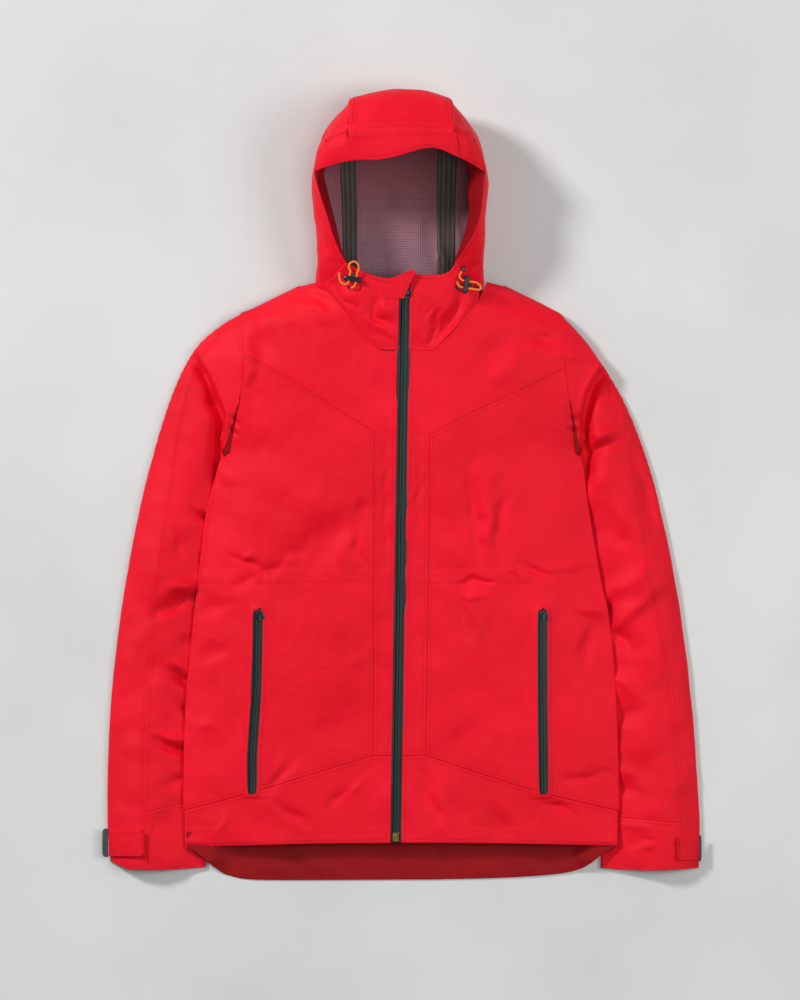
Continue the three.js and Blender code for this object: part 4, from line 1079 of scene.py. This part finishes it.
grid = liningAt(spacing(0.3, 9.7, 3.4, 1 / 42), spacing(0.15, 9.6, 3.4, 1 / 29), 2.8)
build("hoodLining", grid, [knit, knit], ["hood_lining"], "jacket", 0.5, away=hoodInside)
# where each tape runs round the hood, and half its width, both counted in lines
tapeRuns = {"backRight": (3.62, 0.25), "backLeft": (6.2, 0.29), "sideRight": (1.5, 0.26),
            "sideLeft": (8.45, 0.26)}
for label, (middle, half) in tapeRuns.items():
    grid = liningAt(np.linspace(middle - half, middle + half, 15), spacing(0.2, 9.5, 2.6, 1 / 29), 3.7)
    build("seamTape_" + label, grid, [seamTape], (), "jacket", 0.25, away=hoodInside)
print("hood made")

# ---- collar ----
collarFolds = {
    -1: [(-37, 219, -18, 268, 6, -6), (-24, 212, -10, 258, 6, 3), (-34, 192, -10, 188, 4, -3),
         (-37, 217, -18, 202, 5, -5),
         (-46, 224, -34, 204, 5, 3), (-75, 237, -70, 227, 3, -2.6), (-67, 234, -63, 225, 3, -2.6),
         (-58, 232, -54, 222, 3, -2.6), (-48, 227, -44, 218, 3, -2.4), (-90, 262, -80, 242, 4, -2.4)],
    1: [(74, 234, 38, 184, 10, -9), (46, 218, 33, 182, 4, -5), (64, 234, 42, 196, 5, 3.4),
        (72, 240, 60, 212, 5, -3),
        (21, 226, 29, 208, 3, -1.8), (37, 226, 29, 208, 3, -1.8), (22, 200, 30, 180, 6, 1.5),
        (88, 262, 80, 240, 4, -2)]}
collarRim = {1: [(zipEdge(1, 269), 269, 60), (30, 267.5, 62), (44, 268, 64), (57, 269.5, 66.5),
                 (68.5, 283, 70)],
             -1: [(zipEdge(-1, 266), 266, 64), (-24, 263, 64), (-42, 269, 64), (-56, 275, 67),
                  (-71, 283, 70)]}


def guardLift(x, y):
    return zipHeight(y) + 6.6 + 2.2 * smooth(-6.4, -4.6, x) + 0.4 * ripple(x, y, 30, 52)


for side, name in ((1, "left"), (-1, "right")):
    neck = np.array([[zipEdge(side, 172), 172]] + neckSeam[side], float)
    rim = through(collarRim[side], np.linspace(0, 4, 6))
    near = np.column_stack([neck, frontHeight(neck[:, 0], neck[:, 1])])
    near[-1] = hoodNet[{1: 9, -1: 1}[side], 0]
    grid, away = panel(near, rim, 1.8)
    x, y, z = np.moveaxis(grid, 2, 0)
    v = lengthsAlong(grid, 1) / lengthsAlong(grid, 1)[:, -1:]
    lockX, lockY, _ = hoodCord[name]["middle"]
    clear = smooth(9, 20, np.hypot(x - lockX, y - lockY))
    creases = folds(x, y, collarFolds[side]) + 0.8 * ripple(x, y, 34, 51)
    grid[..., 2] += creases * smooth(0, 7, away) * clear + 4 * np.sin(np.pi * v) ** 0.8 * clear
    share = smooth(-40, -25, x) * smooth(224, 240, y) if side < 0 else 0
    grid[..., 2] = grid[..., 2] * (1 - share) + (np.minimum(guardLift(x, y), zipHeight(y) + 7.4)
                                                 - 1.1) * share
    grid, away = lapUnder(grid, away, "near", (0, -4, -3))
    shellPiece("collar_" + name, grid, away, ["collar_front_" + name], away=(0, 230, -300))

# chin guard folded over the top of the zip, its free edge slanting
near = [(-22.5, 238), (-23, 246), (-22.5, 254), (-21, 261.5)]
far = [(2.6, 237.4), (7.2, 248.5), (12.4, 260), (18, 271)]
top = [(-21, 261.5), (-12, 263.5), (-4, 267), (5, 271), (12.5, 274), (18, 271)]
grid, away = panel(near, far, 1.3, guardLift, seams=("far", "end"), last=top)
shellPiece("chinGuard", grid, away, ["chin_guard"], "chin_guard_body", thick=0.8, away=(0, 250, -300))
print("collar made")


# ---- zips: coated tapes meeting over the coil ----
def zipTape(name, middle, side, half, top, bottom, height, body, stands):
    """Profile across from the meeting line: a groove, the rounded film over the coil, a stitched valley
    and a flat edge that slips under the cloth. The coil shows as ribs along it."""
    y = np.arange(bottom, top, 0.8)[:, None]
    out = np.array([0.1, 0.35, 0.7, 1.2, 1.9, 2.7, 3.4, 3.9, 4.3, 4.8, 5.4, 6.2, 7.0, 7.6])[None,
            :] * half / 7.6
    film = 0.45 * smooth(0, 0.9, out) * smooth(4.4, 3.4, out) + 0.1 * smooth(4.6, 5.6,
            out) - 0.5 * smooth(6.2, 7.6, out)
    ribs = 0.07 * np.sin(2 * np.pi * y / 3.2) * smooth(0.3, 0.9, out) * smooth(3.9, 3.2, out)
    x = middle(y) + side * out
    z = height(x, y) + film + ribs
    grid = np.stack(np.broadcast_arrays(x, y, z), axis=2)
    build(name, grid, [zipFilmPaintedSheen, zipFilmPaintedSheen], stands, body, 0.5)


def pocketLevel(x, y):
    return frontHeight(x, y) + 0.75


for side, name in ((1, "left"), (-1, "right")):
    zipTape("mainTape_" + name, zipMiddle, side, 7.9, 262, -453, lambda x, y: zipHeight(y) + 0.1, "jacket",
            ["main_zip_tape_" + name])
    for label, way, stands in (("Out", side, ["pocket_zip_tape_" + name]), ("In", -side, ())):
        zipTape("pocketTape" + label + "_" + name, lambda y: pocketLine(side, y), way, 7.4, -158, -392,
                pocketLevel,
                "jacket", stands)
    # cloth lips round the pocket opening
    angle = np.linspace(0, 2 * np.pi, 241)
    top, bottom = -157, -392
    widths = np.array([6.4, 6.5, 6.8, 7.4, 8.6, 10.0, 11.6, 12.6])[None, :]
    lips = np.array([0.8, 1.15, 1.3, 1.25, 1.0, 0.7, 0.3, -0.5])[None, :]
    alongLip = (np.sign(np.cos(angle)) * np.abs(np.cos(angle)) ** 0.16)[:, None]
    acrossLip = (np.sign(np.sin(angle)) * np.abs(np.sin(angle)) ** 0.3)[:, None]
    y = (top + bottom) / 2 + alongLip * ((top - bottom) / 2 + (widths - 6.4))
    x = pocketLine(side, np.clip(y, bottom, top)) + acrossLip * widths
    z = frontHeight(x, y) + lips
    grid = np.stack([x, y, z], axis=2)
    build("pocketLip_" + name, grid, [shell], (), "jacket", 0, away=(side * 180, -270, -600))
print("zips made")

# ---- floor and lights ----
bpy.ops.mesh.primitive_plane_add(size=8, location=(0, 0, -0.0006))
floor = bpy.context.object
floor.name = "floor"
paper, tree, shader = newFinish("paleFloor", 0.9)
where = onPiece(tree)
tree.links.new(ramp(tree, noise(tree, where, 3, 4), [(0.3, (206, 208, 206)), (0.7, (217, 219, 217))]),
               shader.inputs["Base Color"])
floor.data.materials.append(paper)
world = bpy.data.worlds.new("studio")
scene.world = world
world.use_nodes = True
world.node_tree.nodes["Background"].inputs["Color"].default_value = (0.93, 0.96, 1.0, 1)
world.node_tree.nodes["Background"].inputs["Strength"].default_value = 0.24
studioLights = {"key": ((-3.7, 2.6, 3.2), 1.0, 215), "fill": ((3.4, 0.4, 3.4), 2.2, 72),
                "top": ((0.8, 0.1, 4.6), 1.8, 44)}
for name, (place, size, power) in studioLights.items():
    lamp = bpy.data.objects.new(name, bpy.data.lights.new(name, "AREA"))
    lamp.data.shape, lamp.data.size, lamp.data.energy = "DISK", size, power
    lamp.location = place
    lamp.rotation_euler = (-lamp.location).to_track_quat("-Z", "Y").to_euler()
    scene.collection.objects.link(lamp)
print("floor and lights placed")
